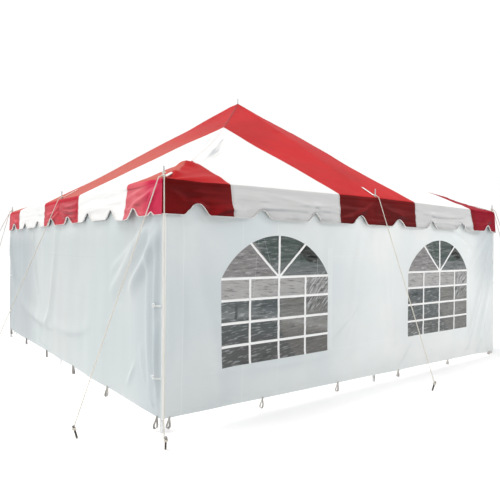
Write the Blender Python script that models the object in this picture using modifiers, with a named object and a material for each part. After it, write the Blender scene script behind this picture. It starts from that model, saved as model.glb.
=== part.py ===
# A square pole tent of 20 by 20 feet with a sagging hipped roof, scalloped
# valances, four hanging walls, arched clear windows and roped side poles.
import math

import bmesh
import bpy
from mathutils import Vector

for old_object in list(bpy.data.objects):
    bpy.data.objects.remove(old_object, do_unlink=True)

# Plan
HALF_SIDE = 3.048
FABRIC = 0.006
GAP = 0.0003

# Roof heights above the floor
CORNER_EAVE_Z = 2.323
EAVE_RISE = 0.025
APEX_Z = 4.245
HIP_SAG = 0.175
ROOF_DROP = 0.0075
STATION_STEPS = 96
ROW_SHARES = (0.0, 0.05, 0.35, 0.7, 1.0)

# Valance
VALANCE_FOOT_Z = 1.997
SCALLOP_PITCH = 0.762
SCALLOP_COUNT = 8
NOTCH_HEIGHT = 0.1
NOTCH_HALF_WIDTH = 0.145
NOTCH_STEPS = 10

# Walls
HEM_MEAN_Z = 0.095
HEM_FALL_TO_RIGHT = 0.045
HEM_RISE_TO_BACK = 0.01
WALL_TOP_STEPS = 24
WALL_TOP_CLEARANCE = 0.0005

# Windows
WINDOW_CENTRES = (-1.635, 1.443)
WINDOW_HALF_WIDTH = 0.755
WINDOW_SILL_Z = 0.505
WINDOW_SPRING_Z = 1.383
ARCH_RADIUS = 0.863
ARCH_STEPS = 24
PANE_THICKNESS = 0.004

# Poles
SIDE_POLE_RADIUS = 0.019
CENTRE_POLE_RADIUS = 0.0254
PIN_RADIUS = 0.008
SIDE_PIN_LENGTH = 0.1
CENTRE_PIN_TOP_Z = 4.328
POLE_SEGMENTS = 24
POLE_INSET = 2 * FABRIC + 2 * GAP + SIDE_POLE_RADIUS

# Guy ropes and stakes
ROPE_RADIUS = 0.006
ROPE_CLEARANCE = 0.0008
ROPE_EAVE_REACH = 0.008
ROPE_BEVEL_RESOLUTION = 2
STAKE_RADIUS = 0.009
STAKE_HEAD_RADIUS = 0.013
STAKE_HEAD_DEPTH = 0.008
STAKE_LENGTH = 0.115
STAKE_LEAN = math.radians(16.0)
STAKE_TIE_SHARE = 0.5
STAKE_SEGMENTS = 16

SIDES = (("front", 0), ("right", 1), ("back", 2), ("left", 3))

parts = bpy.data.collections.new("marquee_tent")
cutters = bpy.data.collections.new("cutters")
bpy.context.scene.collection.children.link(parts)
bpy.context.scene.collection.children.link(cutters)


def make_material(name, colour, roughness, metallic):
    material = bpy.data.materials.new(name)
    material.use_nodes = True
    shader = material.node_tree.nodes["Principled BSDF"]
    shader.inputs["Base Color"].default_value = (*colour, 1.0)
    shader.inputs["Roughness"].default_value = roughness
    shader.inputs["Metallic"].default_value = metallic
    return material


def add_part(name, data, material):
    part = bpy.data.objects.new(name, data)
    data.materials.append(material)
    parts.objects.link(part)
    return part


def add_cutter(name, data):
    cutter = bpy.data.objects.new(name, data)
    cutter.hide_render = True
    cutter.display_type = "WIRE"
    cutters.objects.link(cutter)
    return cutter


def eave_height(station):
    """Height of the eave's fold at a distance along the eave from its middle."""
    return CORNER_EAVE_Z + EAVE_RISE * (1.0 - abs(station) / HALF_SIDE)


def hip_height(reach):
    """Height of the sagging hip where it stands reach metres from the centre in plan."""
    share = reach / HALF_SIDE
    straight = APEX_Z + (CORNER_EAVE_Z - APEX_Z) * share
    return straight - 4.0 * HIP_SAG * share * (1.0 - share)


def roof_height(x, y):
    """Height of the roof's upper face, ruled from each hip to its eave."""
    station, reach = (x, abs(y)) if abs(y) > abs(x) else (y, abs(x))
    along = min(abs(station), HALF_SIDE - GAP)
    share = (HALF_SIDE - reach) / (HALF_SIDE - along)
    return eave_height(along) + (hip_height(along) - eave_height(along)) * share


def side_to_plan(turns, station, reach):
    """Plan point of a side's station and reach, the front side turned by quarter turns."""
    point = Vector((station, -reach))
    for _ in range(turns):
        point = Vector((-point.y, point.x))
    return point


def hem_height(turns, station):
    point = side_to_plan(turns, station, HALF_SIDE)
    fall = HEM_FALL_TO_RIGHT * point.x / HALF_SIDE
    return HEM_MEAN_Z - fall + HEM_RISE_TO_BACK * point.y / HALF_SIDE


def roof_slope_mesh(name):
    """One slope of the roof: rows from the eave up to the hip line, given its thickness."""
    edge = HALF_SIDE - GAP
    pin_clear = PIN_RADIUS + GAP
    mesh = bpy.data.meshes.new(name)
    shape = bmesh.new()
    columns = []
    for index in range(STATION_STEPS + 1):
        station = edge * (2.0 * index / STATION_STEPS - 1.0)
        hip_reach = max(abs(station) + 0.5 * GAP * math.sqrt(2.0), pin_clear)
        column = []
        for share in ROW_SHARES:
            reach = HALF_SIDE + (hip_reach - HALF_SIDE) * share
            height = roof_height(station, reach)
            column.append(Vector((station, -reach, height)))
        columns.append(column)
    columns[0] = [Vector((-edge, -HALF_SIDE, CORNER_EAVE_Z))]
    columns[-1] = [Vector((edge, -HALF_SIDE, CORNER_EAVE_Z))]
    drop = Vector((0.0, 0.0, -ROOF_DROP))
    upper = [[shape.verts.new(point) for point in column] for column in columns]
    lower = [[shape.verts.new(point + drop) for point in column] for column in columns]
    last_row = len(ROW_SHARES) - 1
    for index in range(STATION_STEPS):
        for row in range(last_row):
            for layer in (upper, lower):
                near = [layer[index][min(row, len(layer[index]) - 1)]]
                near.append(layer[index + 1][min(row, len(layer[index + 1]) - 1)])
                near.append(layer[index + 1][min(row + 1, len(layer[index + 1]) - 1)])
                near.append(layer[index][min(row + 1, len(layer[index]) - 1)])
                corners = list(dict.fromkeys(near))
                shape.faces.new(corners)
        for row in (0, last_row):
            first = min(row, len(upper[index]) - 1)
            second = min(row, len(upper[index + 1]) - 1)
            rim = [upper[index][first], upper[index + 1][second]]
            rim += [lower[index + 1][second], lower[index][first]]
            shape.faces.new(rim)
    bmesh.ops.recalc_face_normals(shape, faces=shape.faces[:])
    shape.to_mesh(mesh)
    shape.free()
    return mesh


def sheet_mesh(name, outline, outer_reach, thickness):
    """A flat upright sheet with an outline of stations and heights, facing the front."""
    mesh = bpy.data.meshes.new(name)
    shape = bmesh.new()
    corners = [shape.verts.new((station, -outer_reach, z)) for station, z in outline]
    face = shape.faces.new(corners)
    grown = bmesh.ops.extrude_face_region(shape, geom=[face])
    moved = [item for item in grown["geom"] if isinstance(item, bmesh.types.BMVert)]
    bmesh.ops.translate(shape, verts=moved, vec=(0.0, thickness, 0.0))
    bmesh.ops.recalc_face_normals(shape, faces=shape.faces[:])
    shape.to_mesh(mesh)
    shape.free()
    return mesh


def turned_part(name, profile, segments, material):
    """A round part turned from a profile of radius and height, top to bottom."""
    mesh = bpy.data.meshes.new(name)
    points = [(radius, 0.0, height) for radius, height in profile]
    edges = [(index, index + 1) for index in range(len(points) - 1)]
    mesh.from_pydata(points, edges, [])
    part = add_part(name, mesh, material)
    screw = part.modifiers.new("turn", "SCREW")
    screw.steps = segments
    screw.render_steps = segments
    screw.use_merge_vertices = True
    screw.merge_threshold = 0.0001
    screw.use_smooth_shade = True
    return part


def pole_top(x, y, radius):
    """Height at which a pole's shoulder meets the underside of the roof."""
    rim = []
    for index in range(POLE_SEGMENTS):
        angle = 2.0 * math.pi * index / POLE_SEGMENTS
        rim.append(roof_height(x + radius * math.cos(angle), y + radius * math.sin(angle)))
    return min(rim) - ROOF_DROP - GAP


def add_pole(name, x, y, radius, pin_top, material):
    shoulder = pole_top(x, y, radius)
    profile = ((0.0, pin_top), (PIN_RADIUS, pin_top), (PIN_RADIUS, shoulder))
    profile += ((radius, shoulder), (radius, 0.0), (0.0, 0.0))
    pole = turned_part(name, profile, POLE_SEGMENTS, material)
    pole.location = (x, y, 0.0)


def add_stake(name, base, outward, material):
    """A steel stake that leans away from the tent, cut off where it enters the ground."""
    neck = STAKE_LENGTH - STAKE_HEAD_DEPTH
    profile = ((0.0, STAKE_LENGTH), (STAKE_HEAD_RADIUS, STAKE_LENGTH), (STAKE_HEAD_RADIUS, neck))
    profile += ((STAKE_RADIUS, neck), (STAKE_RADIUS, 0.0), (0.0, 0.0))
    stake = turned_part(name, profile, STAKE_SEGMENTS, material)
    axis = stake_axis(outward)
    stake.rotation_mode = "QUATERNION"
    stake.rotation_quaternion = Vector((0.0, 0.0, 1.0)).rotation_difference(axis)
    stake.location = stake_foot(base)


def stake_foot(base):
    return Vector((base.x, base.y, STAKE_RADIUS * math.sin(STAKE_LEAN)))


def stake_axis(outward):
    flat = math.sin(STAKE_LEAN)
    return Vector((outward.x * flat, outward.y * flat, math.cos(STAKE_LEAN)))


def add_guy_rope(name, pin, base, lift, material):
    """A rope from a pole's pin over the eave and straight down to its stake."""
    outward = (base - pin).normalized()
    if abs(outward.x) > abs(outward.y):
        steps_out = (HALF_SIDE - abs(pin.x)) / abs(outward.x)
    else:
        steps_out = (HALF_SIDE - abs(pin.y)) / abs(outward.y)
    edge = pin + outward * steps_out
    fall = roof_height(pin.x, pin.y) - roof_height(edge.x, edge.y)
    pitch = math.atan2(fall, (edge - pin).length)
    start = pin + outward * (PIN_RADIUS + GAP + ROPE_RADIUS * math.sin(pitch))
    height = (ROPE_RADIUS + ROPE_CLEARANCE) / math.cos(pitch) + lift
    start_z = roof_height(start.x, start.y) + height
    bend = edge + outward * ROPE_EAVE_REACH
    bend_z = roof_height(edge.x, edge.y) + height
    axis = stake_axis(outward)
    tie = stake_foot(base) + axis * STAKE_LENGTH * STAKE_TIE_SHARE
    bend_point = Vector((bend.x, bend.y, bend_z))
    line = (tie - bend_point).normalized()
    crossing = line.cross(axis).length
    stand_off = (STAKE_RADIUS + GAP + ROPE_RADIUS * abs(line.dot(axis))) / crossing
    points = (Vector((start.x, start.y, start_z)), bend_point, tie - line * stand_off)
    curve = bpy.data.curves.new(name, "CURVE")
    curve.dimensions = "3D"
    curve.bevel_depth = ROPE_RADIUS
    curve.bevel_resolution = ROPE_BEVEL_RESOLUTION
    curve.render_resolution_u = 0
    curve.use_fill_caps = True
    spline = curve.splines.new("POLY")
    spline.points.add(len(points) - 1)
    for spot, point in zip(spline.points, points):
        spot.co = (*point, 1.0)
    spline.use_smooth = True
    add_part(name, curve, material)


# Materials
roof_vinyl = make_material("roof_vinyl", (0.87, 0.87, 0.87), 0.42, 0.0)
valance_vinyl = make_material("valance_vinyl", (0.66, 0.06, 0.07), 0.42, 0.0)
wall_vinyl = make_material("wall_vinyl", (0.72, 0.76, 0.77), 0.45, 0.0)
clear_vinyl = make_material("clear_vinyl", (0.30, 0.33, 0.34), 0.12, 0.0)
pole_metal = make_material("pole_metal", (0.62, 0.62, 0.63), 0.35, 0.9)
rope_fibre = make_material("rope_fibre", (0.68, 0.66, 0.60), 0.85, 0.0)
stake_steel = make_material("stake_steel", (0.10, 0.09, 0.085), 0.55, 0.85)

# Holes in the roof for the side poles' pins
pin_line = HALF_SIDE - POLE_INSET
pole_places = {
    "front_left": Vector((-pin_line, -pin_line)),
    "front": Vector((0.0, -pin_line)),
    "front_right": Vector((pin_line, -pin_line)),
    "right": Vector((pin_line, 0.0)),
    "back_right": Vector((pin_line, pin_line)),
    "back": Vector((0.0, pin_line)),
    "back_left": Vector((-pin_line, pin_line)),
    "left": Vector((-pin_line, 0.0)),
}
hole_mesh = bpy.data.meshes.new("pin_hole_cutter")
hole_shape = bmesh.new()
for place in pole_places.values():
    hole = bmesh.ops.create_cone(
        hole_shape,
        cap_ends=True,
        segments=POLE_SEGMENTS,
        radius1=PIN_RADIUS + GAP,
        radius2=PIN_RADIUS + GAP,
        depth=4.0 * POLE_INSET,
    )
    bmesh.ops.translate(hole_shape, verts=hole["verts"], vec=(place.x, place.y, CORNER_EAVE_Z))
hole_shape.to_mesh(hole_mesh)
hole_shape.free()
hole_cutter = add_cutter("pin_hole_cutter", hole_mesh)

# Roof slopes, one to a side, meeting along the hips
for side_name, turns in SIDES:
    slope_part = add_part(f"roof_{side_name}", roof_slope_mesh(f"roof_{side_name}"), roof_vinyl)
    slope_part.rotation_euler.z = turns * math.pi / 2.0
    drill = slope_part.modifiers.new("pin_holes", "BOOLEAN")
    drill.operation = "DIFFERENCE"
    drill.solver = "EXACT"
    drill.object = hole_cutter

# Valances that hang from the eaves, notched between their flat lobes
for side_name, turns in SIDES:
    end = HALF_SIDE if turns % 2 == 0 else HALF_SIDE - FABRIC - GAP
    outline = [(-end, VALANCE_FOOT_Z)]
    for notch in range(SCALLOP_COUNT):
        middle = (notch + 0.5) * SCALLOP_PITCH - 0.5 * SCALLOP_COUNT * SCALLOP_PITCH
        for index in range(NOTCH_STEPS + 1):
            share = 2.0 * index / NOTCH_STEPS - 1.0
            bell = 0.5 + 0.5 * math.cos(math.pi * abs(share) ** 1.3)
            height = VALANCE_FOOT_Z + NOTCH_HEIGHT * bell
            outline.append((middle + NOTCH_HALF_WIDTH * share, height))
    outline.append((end, VALANCE_FOOT_Z))
    for station in (end, 0.0, -end):
        outline.append((station, eave_height(station) - ROOF_DROP - GAP))
    valance_mesh = sheet_mesh(f"valance_{side_name}", outline, HALF_SIDE, FABRIC)
    valance_part = add_part(f"valance_{side_name}", valance_mesh, valance_vinyl)
    valance_part.rotation_euler.z = turns * math.pi / 2.0


def arch_outline(centre, margin):
    """Outline of an arched window, margin smaller than its hole all round."""
    half_width = WINDOW_HALF_WIDTH - margin
    radius = ARCH_RADIUS - margin
    arch_centre_z = WINDOW_SPRING_Z - math.sqrt(ARCH_RADIUS**2 - WINDOW_HALF_WIDTH**2)
    outline = [(centre - half_width, WINDOW_SILL_Z + margin)]
    outline.append((centre + half_width, WINDOW_SILL_Z + margin))
    reach_angle = math.asin(half_width / radius)
    for index in range(ARCH_STEPS + 1):
        angle = reach_angle * (1.0 - 2.0 * index / ARCH_STEPS)
        height = arch_centre_z + radius * math.cos(angle)
        outline.append((centre + radius * math.sin(angle), height))
    return outline


# Walls behind the valances, hung so that their hems slope a little
wall_reach = HALF_SIDE - FABRIC - GAP
for side_name, turns in SIDES:
    end = wall_reach if turns % 2 == 0 else wall_reach - FABRIC - GAP
    outline = [(station, hem_height(turns, station)) for station in (-end, end)]
    for index in range(WALL_TOP_STEPS + 1):
        station = end * (1.0 - 2.0 * index / WALL_TOP_STEPS)
        underside = roof_height(station, wall_reach) - ROOF_DROP
        outline.append((station, underside - WALL_TOP_CLEARANCE))
    wall_mesh = sheet_mesh(f"wall_{side_name}", outline, wall_reach, FABRIC)
    wall_part = add_part(f"wall_{side_name}", wall_mesh, wall_vinyl)
    wall_part.rotation_euler.z = turns * math.pi / 2.0
    if turns % 2 == 0:
        mirror = 1.0 if turns == 0 else -1.0
        for centre, hand in zip(WINDOW_CENTRES, ("left", "right")):
            name = f"window_{side_name}_{hand}"
            hole_outline = arch_outline(mirror * centre, 0.0)
            hole_reach = wall_reach + FABRIC
            cutter_mesh = sheet_mesh(f"{name}_cutter", hole_outline, hole_reach, 3.0 * FABRIC)
            cutter = add_cutter(f"{name}_cutter", cutter_mesh)
            cutter.rotation_euler.z = turns * math.pi / 2.0
            cut = wall_part.modifiers.new(name, "BOOLEAN")
            cut.operation = "DIFFERENCE"
            cut.solver = "EXACT"
            cut.object = cutter
            pane_reach = wall_reach - 0.5 * (FABRIC - PANE_THICKNESS)
            pane_outline = arch_outline(mirror * centre, GAP)
            pane_mesh = sheet_mesh(name, pane_outline, pane_reach, PANE_THICKNESS)
            pane = add_part(name, pane_mesh, clear_vinyl)
            pane.rotation_euler.z = turns * math.pi / 2.0

# Poles, each with a pin that passes through the roof
add_pole("centre_pole", 0.0, 0.0, CENTRE_POLE_RADIUS, CENTRE_PIN_TOP_Z, pole_metal)
for place_name, place in pole_places.items():
    pin_top = roof_height(place.x, place.y) + SIDE_PIN_LENGTH
    add_pole(f"pole_{place_name}", place.x, place.y, SIDE_POLE_RADIUS, pin_top, pole_metal)

# Guy ropes and stakes, two at each corner and one at the middle of each side,
# set out by hand from the foot of each pole
stake_offsets = {
    "front_left": ((-0.663, 0.325), (-0.151, -0.356)),
    "front": ((0.231, -0.69),),
    "front_right": ((0.95, -0.15), (0.33, -0.65)),
    "right": ((0.9, 0.1),),
    "back_right": ((0.95, 0.1), (0.4, 0.6)),
    "back": ((0.1, 0.75),),
    "back_left": ((-1.1, -0.1), (-0.5, 0.6)),
    "left": ((-0.9, 0.1),),
}
for place_name, offsets in stake_offsets.items():
    place = pole_places[place_name]
    for index, offset in enumerate(offsets):
        guy_name = f"{place_name}_{'ab'[index]}" if len(offsets) > 1 else place_name
        spot = place + Vector(offset)
        lift = index * (2.0 * ROPE_RADIUS + ROPE_CLEARANCE)
        add_guy_rope(f"guy_rope_{guy_name}", place, spot, lift, rope_fibre)
        add_stake(f"stake_{guy_name}", spot, (spot - place).normalized(), stake_steel)
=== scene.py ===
import math

import bpy
import numpy as np
from mathutils import Matrix, Vector, noise


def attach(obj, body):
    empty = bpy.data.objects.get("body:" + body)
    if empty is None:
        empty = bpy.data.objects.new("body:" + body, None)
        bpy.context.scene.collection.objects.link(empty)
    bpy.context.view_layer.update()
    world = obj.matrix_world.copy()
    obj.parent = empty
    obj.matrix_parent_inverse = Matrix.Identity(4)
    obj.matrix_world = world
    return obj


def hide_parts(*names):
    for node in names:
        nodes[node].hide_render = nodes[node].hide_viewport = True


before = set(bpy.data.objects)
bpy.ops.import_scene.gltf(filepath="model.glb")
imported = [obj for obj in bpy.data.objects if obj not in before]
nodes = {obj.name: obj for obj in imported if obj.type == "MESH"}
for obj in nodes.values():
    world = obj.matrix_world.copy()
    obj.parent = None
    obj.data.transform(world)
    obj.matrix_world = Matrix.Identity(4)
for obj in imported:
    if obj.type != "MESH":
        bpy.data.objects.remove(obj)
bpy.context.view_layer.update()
scene = bpy.context.scene


# Ground, daylight and camera
# The tent stands on a pale studio floor under a white sky that is brighter over its
# back and left, with a broad soft sun high on the left. The camera is a person's eye
# at 1.7 metres, just outside the front left corner's guy ropes.


class Field:
    """One value in a node tree, so that a rule or a pattern is written as a formula."""

    def __init__(self, tree, source):
        self.tree = tree
        self.source = source

    def feed(self, socket, value):
        if isinstance(value, Field):
            self.tree.links.new(value.source, socket)
        else:
            socket.default_value = value

    def step(self, operation, *others, clamp=False):
        node = self.tree.nodes.new("ShaderNodeMath")
        node.operation = operation
        node.use_clamp = clamp
        for socket, value in zip(node.inputs, (self, *others)):
            self.feed(socket, value)
        return Field(self.tree, node.outputs[0])

    def __add__(self, other):
        return self.step("ADD", other)

    def __sub__(self, other):
        return self.step("SUBTRACT", other)

    def __rsub__(self, other):
        return self.step("MULTIPLY_ADD", -1.0, other)

    def __mul__(self, other):
        return self.step("MULTIPLY", other)

    def __truediv__(self, other):
        return self.step("DIVIDE", other)

    def __abs__(self):
        return self.step("ABSOLUTE")

    def clamped(self):
        return self.step("ADD", 0.0, clamp=True)

    def within(self, low, high):
        """0 below low, 1 above high and a smooth rise between them."""
        node = self.tree.nodes.new("ShaderNodeMapRange")
        node.interpolation_type = "SMOOTHSTEP"
        self.feed(node.inputs["Value"], self)
        self.feed(node.inputs["From Min"], low)
        self.feed(node.inputs["From Max"], high)
        return Field(self.tree, node.outputs["Result"])

    def band(self, centre, half_width, softness):
        """1 within half_width of the centre and 0 beyond, over a soft edge."""
        away = abs(self - centre)
        return 1.0 - away.within(half_width - softness, half_width + softness)


def axes(tree, source):
    """The three parts of a vector socket."""
    node = tree.nodes.new("ShaderNodeSeparateXYZ")
    tree.links.new(source, node.inputs[0])
    return [Field(tree, output) for output in node.outputs]


def vector(tree, *values):
    node = tree.nodes.new("ShaderNodeCombineXYZ")
    for socket, value in zip(node.inputs, values):
        Field(tree, None).feed(socket, value)
    return Field(tree, node.outputs[0])


def cloudy(tree, place, scale, detail=2.0, roughness=0.5):
    """Smooth noise round 0.5 over a vector field."""
    node = tree.nodes.new("ShaderNodeTexNoise")
    tree.links.new(place.source, node.inputs["Vector"])
    node.inputs["Scale"].default_value = scale
    node.inputs["Detail"].default_value = detail
    node.inputs["Roughness"].default_value = roughness
    return Field(tree, node.outputs["Fac"])


def blend_colours(tree, share, first, second):
    node = tree.nodes.new("ShaderNodeMix")
    node.data_type = "RGBA"
    field = Field(tree, None)
    field.feed(node.inputs["Factor"], share)
    for socket, colour in zip((node.inputs["A"], node.inputs["B"]), (first, second)):
        field.feed(socket, colour if isinstance(colour, Field) else (*colour, 1.0))
    return Field(tree, node.outputs["Result"])


def new_material(name, slot_settings):
    """A material with its shader's plain settings, and its tree ready for fields."""
    material = bpy.data.materials.new(name)
    material.use_nodes = True
    shader = material.node_tree.nodes["Principled BSDF"]
    for socket, value in slot_settings.items():
        shader.inputs[socket].default_value = value
    return material, material.node_tree, shader


def object_place(tree):
    node = tree.nodes.new("ShaderNodeTexCoord")
    return Field(tree, node.outputs["Object"])


def bump(tree, shader, height, distance, strength=1.0):
    node = tree.nodes.new("ShaderNodeBump")
    node.inputs["Distance"].default_value = distance
    node.inputs["Strength"].default_value = strength
    tree.links.new(height.source, node.inputs["Height"])
    tree.links.new(node.outputs["Normal"], shader.inputs["Normal"])


def mesh_object(name, points, faces, material=None, smooth=True):
    mesh = bpy.data.meshes.new(name)
    mesh.from_pydata([tuple(point) for point in points], [], faces)
    mesh.shade_smooth() if smooth else mesh.shade_flat()
    piece = bpy.data.objects.new(name, mesh)
    scene.collection.objects.link(piece)
    if material:
        mesh.materials.append(material)
    return piece


floor_paint, tree, shader = new_material("studio_floor", {"Roughness": 0.9, "Emission Strength": 0.1})
shader.inputs["Emission Color"].default_value = (1.0, 1.0, 1.0, 1.0)
speckle = cloudy(tree, object_place(tree), 3.0, 4.0)
tint = blend_colours(tree, speckle, (0.86, 0.86, 0.86), (0.9, 0.9, 0.9))
tree.links.new(tint.source, shader.inputs["Base Color"])
floor_half = 90.0
floor_points = [(x, y, -0.0005) for x, y in ((-1, -1), (1, -1), (1, 1), (-1, 1))]
floor_points = [(x * floor_half, y * floor_half, z) for x, y, z in floor_points]
floor = mesh_object("studio_floor", floor_points, [(0, 1, 2, 3)], floor_paint, smooth=False)

sky = bpy.data.worlds.new("white_sky")
sky.use_nodes = True
tree = sky.node_tree
backdrop = tree.nodes["Background"]
backdrop.inputs["Color"].default_value = (1.0, 1.0, 1.0, 1.0)
side, depth, up = axes(tree, object_place(tree).source)
glow = (depth * 0.55 - side * 0.35 + up * 0.76).within(-0.6, 1.0)
light = glow * 0.75 + 0.22
seen = Field(tree, tree.nodes.new("ShaderNodeLightPath").outputs["Is Camera Ray"])
strength = light + seen * (1.02 - light)
tree.links.new(strength.source, backdrop.inputs["Strength"])
scene.world = sky

sun_light = bpy.data.lights.new("soft_sun", "SUN")
sun_light.energy = 2.1
sun_light.angle = math.radians(36.0)
sun_light.color = (1.0, 0.985, 0.96)
sun = bpy.data.objects.new("soft_sun", sun_light)
sun.rotation_mode = "QUATERNION"
sun.rotation_quaternion = Vector((-0.3, 0.2, 0.92)).to_track_quat("Z", "Y")
scene.collection.objects.link(sun)

box_light = bpy.data.lights.new("soft_box", "AREA")
box_light.shape = "SQUARE"
box_light.size = 5.0
box_light.energy = 560.0
box = bpy.data.objects.new("soft_box", box_light)
box_place = Vector((9.0, -11.5, 8.5))
box_aim = Vector((1.6, -3.0, 1.4))
box.location = box_place
box.rotation_mode = "QUATERNION"
box.rotation_quaternion = (box_place - box_aim).to_track_quat("Z", "Y")
scene.collection.objects.link(box)

# The ground just inside the walls, lit as by the daylight that thin vinyl lets through.
for number in range(4):
    strip_light = bpy.data.lights.new(f"hem_glow_{number}", "AREA")
    strip_light.shape = "RECTANGLE"
    strip_light.size = 5.7
    strip_light.size_y = 0.34
    strip_light.energy = 13.0
    strip = bpy.data.objects.new(f"hem_glow_{number}", strip_light)
    quarter_turn = Matrix.Rotation(number * math.pi / 2.0, 4, "Z")
    strip.matrix_world = quarter_turn @ Matrix.Translation((0.0, -2.83, 0.2))
    scene.collection.objects.link(strip)

lens = bpy.data.cameras.new("eye")
lens.sensor_width = 36.0
lens.lens = 496.4 / 500.0 * lens.sensor_width
eye = bpy.data.objects.new("eye", lens)
scene.collection.objects.link(eye)
turn = Matrix.Rotation(-math.radians(37.52), 4, "Z")
nod = Matrix.Rotation(math.radians(90.0 - 0.11), 4, "X")
tip = Matrix.Rotation(math.radians(0.46), 4, "Z")
eye.matrix_world = Matrix.Translation((-5.147, -7.091, 1.683)) @ turn @ nod @ tip
scene.camera = eye
scene.view_settings.view_transform = "Standard"
scene.view_settings.look = "None"


# Poles
# One centre pole and eight side poles of plain drawn tube, each with a thin pin that
# passes through the cover. They stand loose on the ground and the guy ropes hold them.

metal_wear = bpy.data.node_groups.new("drawn_metal_wear", "ShaderNodeTree")
metal_wear.interface.new_socket("Grain scale", in_out="INPUT", socket_type="NodeSocketFloat")
metal_wear.interface.new_socket("Stain scale", in_out="INPUT", socket_type="NodeSocketFloat")
metal_wear.interface.new_socket("Grain", in_out="OUTPUT", socket_type="NodeSocketFloat")
metal_wear.interface.new_socket("Stain", in_out="OUTPUT", socket_type="NodeSocketFloat")
inside = metal_wear.nodes.new("NodeGroupInput")
outside = metal_wear.nodes.new("NodeGroupOutput")
place = object_place(metal_wear)
across, along, height = axes(metal_wear, place.source)
streaks = vector(metal_wear, across * 40.0, along * 40.0, height)
grain = cloudy(metal_wear, streaks, 1.0, 3.0)
metal_wear.links.new(inside.outputs["Grain scale"], grain.source.node.inputs["Scale"])
stain = cloudy(metal_wear, place, 1.0, 5.0, 0.65)
metal_wear.links.new(inside.outputs["Stain scale"], stain.source.node.inputs["Scale"])
metal_wear.links.new(grain.source, outside.inputs["Grain"])
metal_wear.links.new(stain.source, outside.inputs["Stain"])


def group_node(tree, group, **values):
    node = tree.nodes.new("ShaderNodeGroup")
    node.node_tree = group
    for name, value in values.items():
        Field(tree, None).feed(node.inputs[name.replace("_", " ")], value)
    return node


tube_metal, tree, shader = new_material("pole_tube", {"Metallic": 0.9, "Roughness": 0.4})
wear = group_node(tree, metal_wear, Grain_scale=6.0, Stain_scale=7.0)
grain = Field(tree, wear.outputs["Grain"])
stain = Field(tree, wear.outputs["Stain"]).within(0.42, 0.66)
tone = blend_colours(tree, stain, (0.72, 0.73, 0.74), (0.5, 0.5, 0.49))
tree.links.new(tone.source, shader.inputs["Base Color"])
tree.links.new((grain * 0.25 + stain * 0.16 + 0.2).source, shader.inputs["Roughness"])
bump(tree, shader, grain, 0.0004)
for name, node in nodes.items():
    if name.startswith("pole_") or name == "centre_pole":
        for slot in node.material_slots:
            slot.material = tube_metal


# Cover
# The roof cover is one sheet of coated vinyl, welded up from red and white panels that
# meet along four sagging hips. It is drawn tight over the centre pole, turns down over
# the eaves in a soft fold, and puckers where the poles and the ropes pull on it.


def rule_tree(name, sizes):
    """An empty Geometry Nodes tree with one named input for each size."""
    tree = bpy.data.node_groups.new(name, "GeometryNodeTree")
    kinds = {float: "NodeSocketFloat", int: "NodeSocketInt", bpy.types.Material: "NodeSocketMaterial"}
    for way in ("INPUT", "OUTPUT"):
        tree.interface.new_socket("Geometry", in_out=way, socket_type="NodeSocketGeometry")
    for label, value in sizes.items():
        tree.interface.new_socket(label, in_out="INPUT", socket_type=kinds[type(value)])
    start = tree.nodes.new("NodeGroupInput")
    end = tree.nodes.new("NodeGroupOutput")
    fields = {label: Field(tree, start.outputs[label]) for label in sizes}
    return tree, start.outputs["Geometry"], end.inputs["Geometry"], fields


def chain(tree, kind, geometry, label="Geometry", **values):
    """Adds a node that takes the geometry on, and gives that node."""
    node = tree.nodes.new(kind)
    if geometry is not None:
        tree.links.new(geometry, node.inputs[label])
    for name, value in values.items():
        Field(tree, None).feed(node.inputs[name.replace("_", " ")], value)
    return node


def grown_piece(name, tree, sizes, start=None):
    """Runs a tree with its sizes and keeps what it makes as a plain mesh piece."""
    if start is None:
        start = mesh_object(f"{name}_start", [], [])
    modifier = start.modifiers.new(name, "NODES")
    modifier.node_group = tree
    for item in tree.interface.items_tree:
        if item.in_out == "INPUT" and item.name in sizes:
            modifier[item.identifier] = sizes[item.name]
    result = start.evaluated_get(bpy.context.evaluated_depsgraph_get())
    mesh = bpy.data.meshes.new_from_object(result)
    mesh.name = name
    start.modifiers.remove(modifier)
    bpy.data.objects.remove(start)
    piece = bpy.data.objects.new(name, mesh)
    scene.collection.objects.link(piece)
    return piece


HALF = 3.048
cover_vinyl, tree, shader = new_material("cover_vinyl", {"Specular IOR Level": 0.05})

cut = bpy.data.node_groups.new("striped_cut", "ShaderNodeTree")
cut.interface.new_socket("Cloth place", in_out="INPUT", socket_type="NodeSocketVector")
cut_parts = ("Red", "Weld", "Hip weld", "Front strip", "Side strip", "Side slope", "Run", "Reach", "Off hip")
for label in cut_parts:
    cut.interface.new_socket(label, in_out="OUTPUT", socket_type="NodeSocketFloat")
inside = cut.nodes.new("NodeGroupInput")
outside = cut.nodes.new("NodeGroupOutput")
along, reach, unused = axes(cut, inside.outputs["Cloth place"])
side = (along * 0.1 + 0.5).step("FLOOR")
station = along - side * 10.0
odd_side = side.step("MODULO", 2.0)
far_out = reach.step("MINIMUM", HALF)
askew = far_out * 0.095 - 0.2 + odd_side * (0.3535 - far_out * 0.1286)
spare = (1.0 - abs(station) / 2.286).step("MAXIMUM", 0.0)
wide_end = (station * (odd_side * 2.0 - 1.0)).within(-0.05, 0.05)
panel = abs(station - askew * spare) - (HALF - far_out) * spare * wide_end * 0.1
red = panel.within(0.7605, 0.7635)
red = red - panel.within(2.2845, 2.2875)
weld = panel.band(0.775, 0.0125, 0.0012) + panel.band(2.273, 0.0125, 0.0012)
hip_weld = (reach - abs(station)).band(0.0, 0.028, 0.0015)
cut.links.new((1.0 - red).source, outside.inputs["Red"])
cut.links.new(weld.source, outside.inputs["Weld"])
cut.links.new(hip_weld.source, outside.inputs["Hip weld"])
hanging = reach.within(HALF + 0.012, HALF + 0.017)
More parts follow.
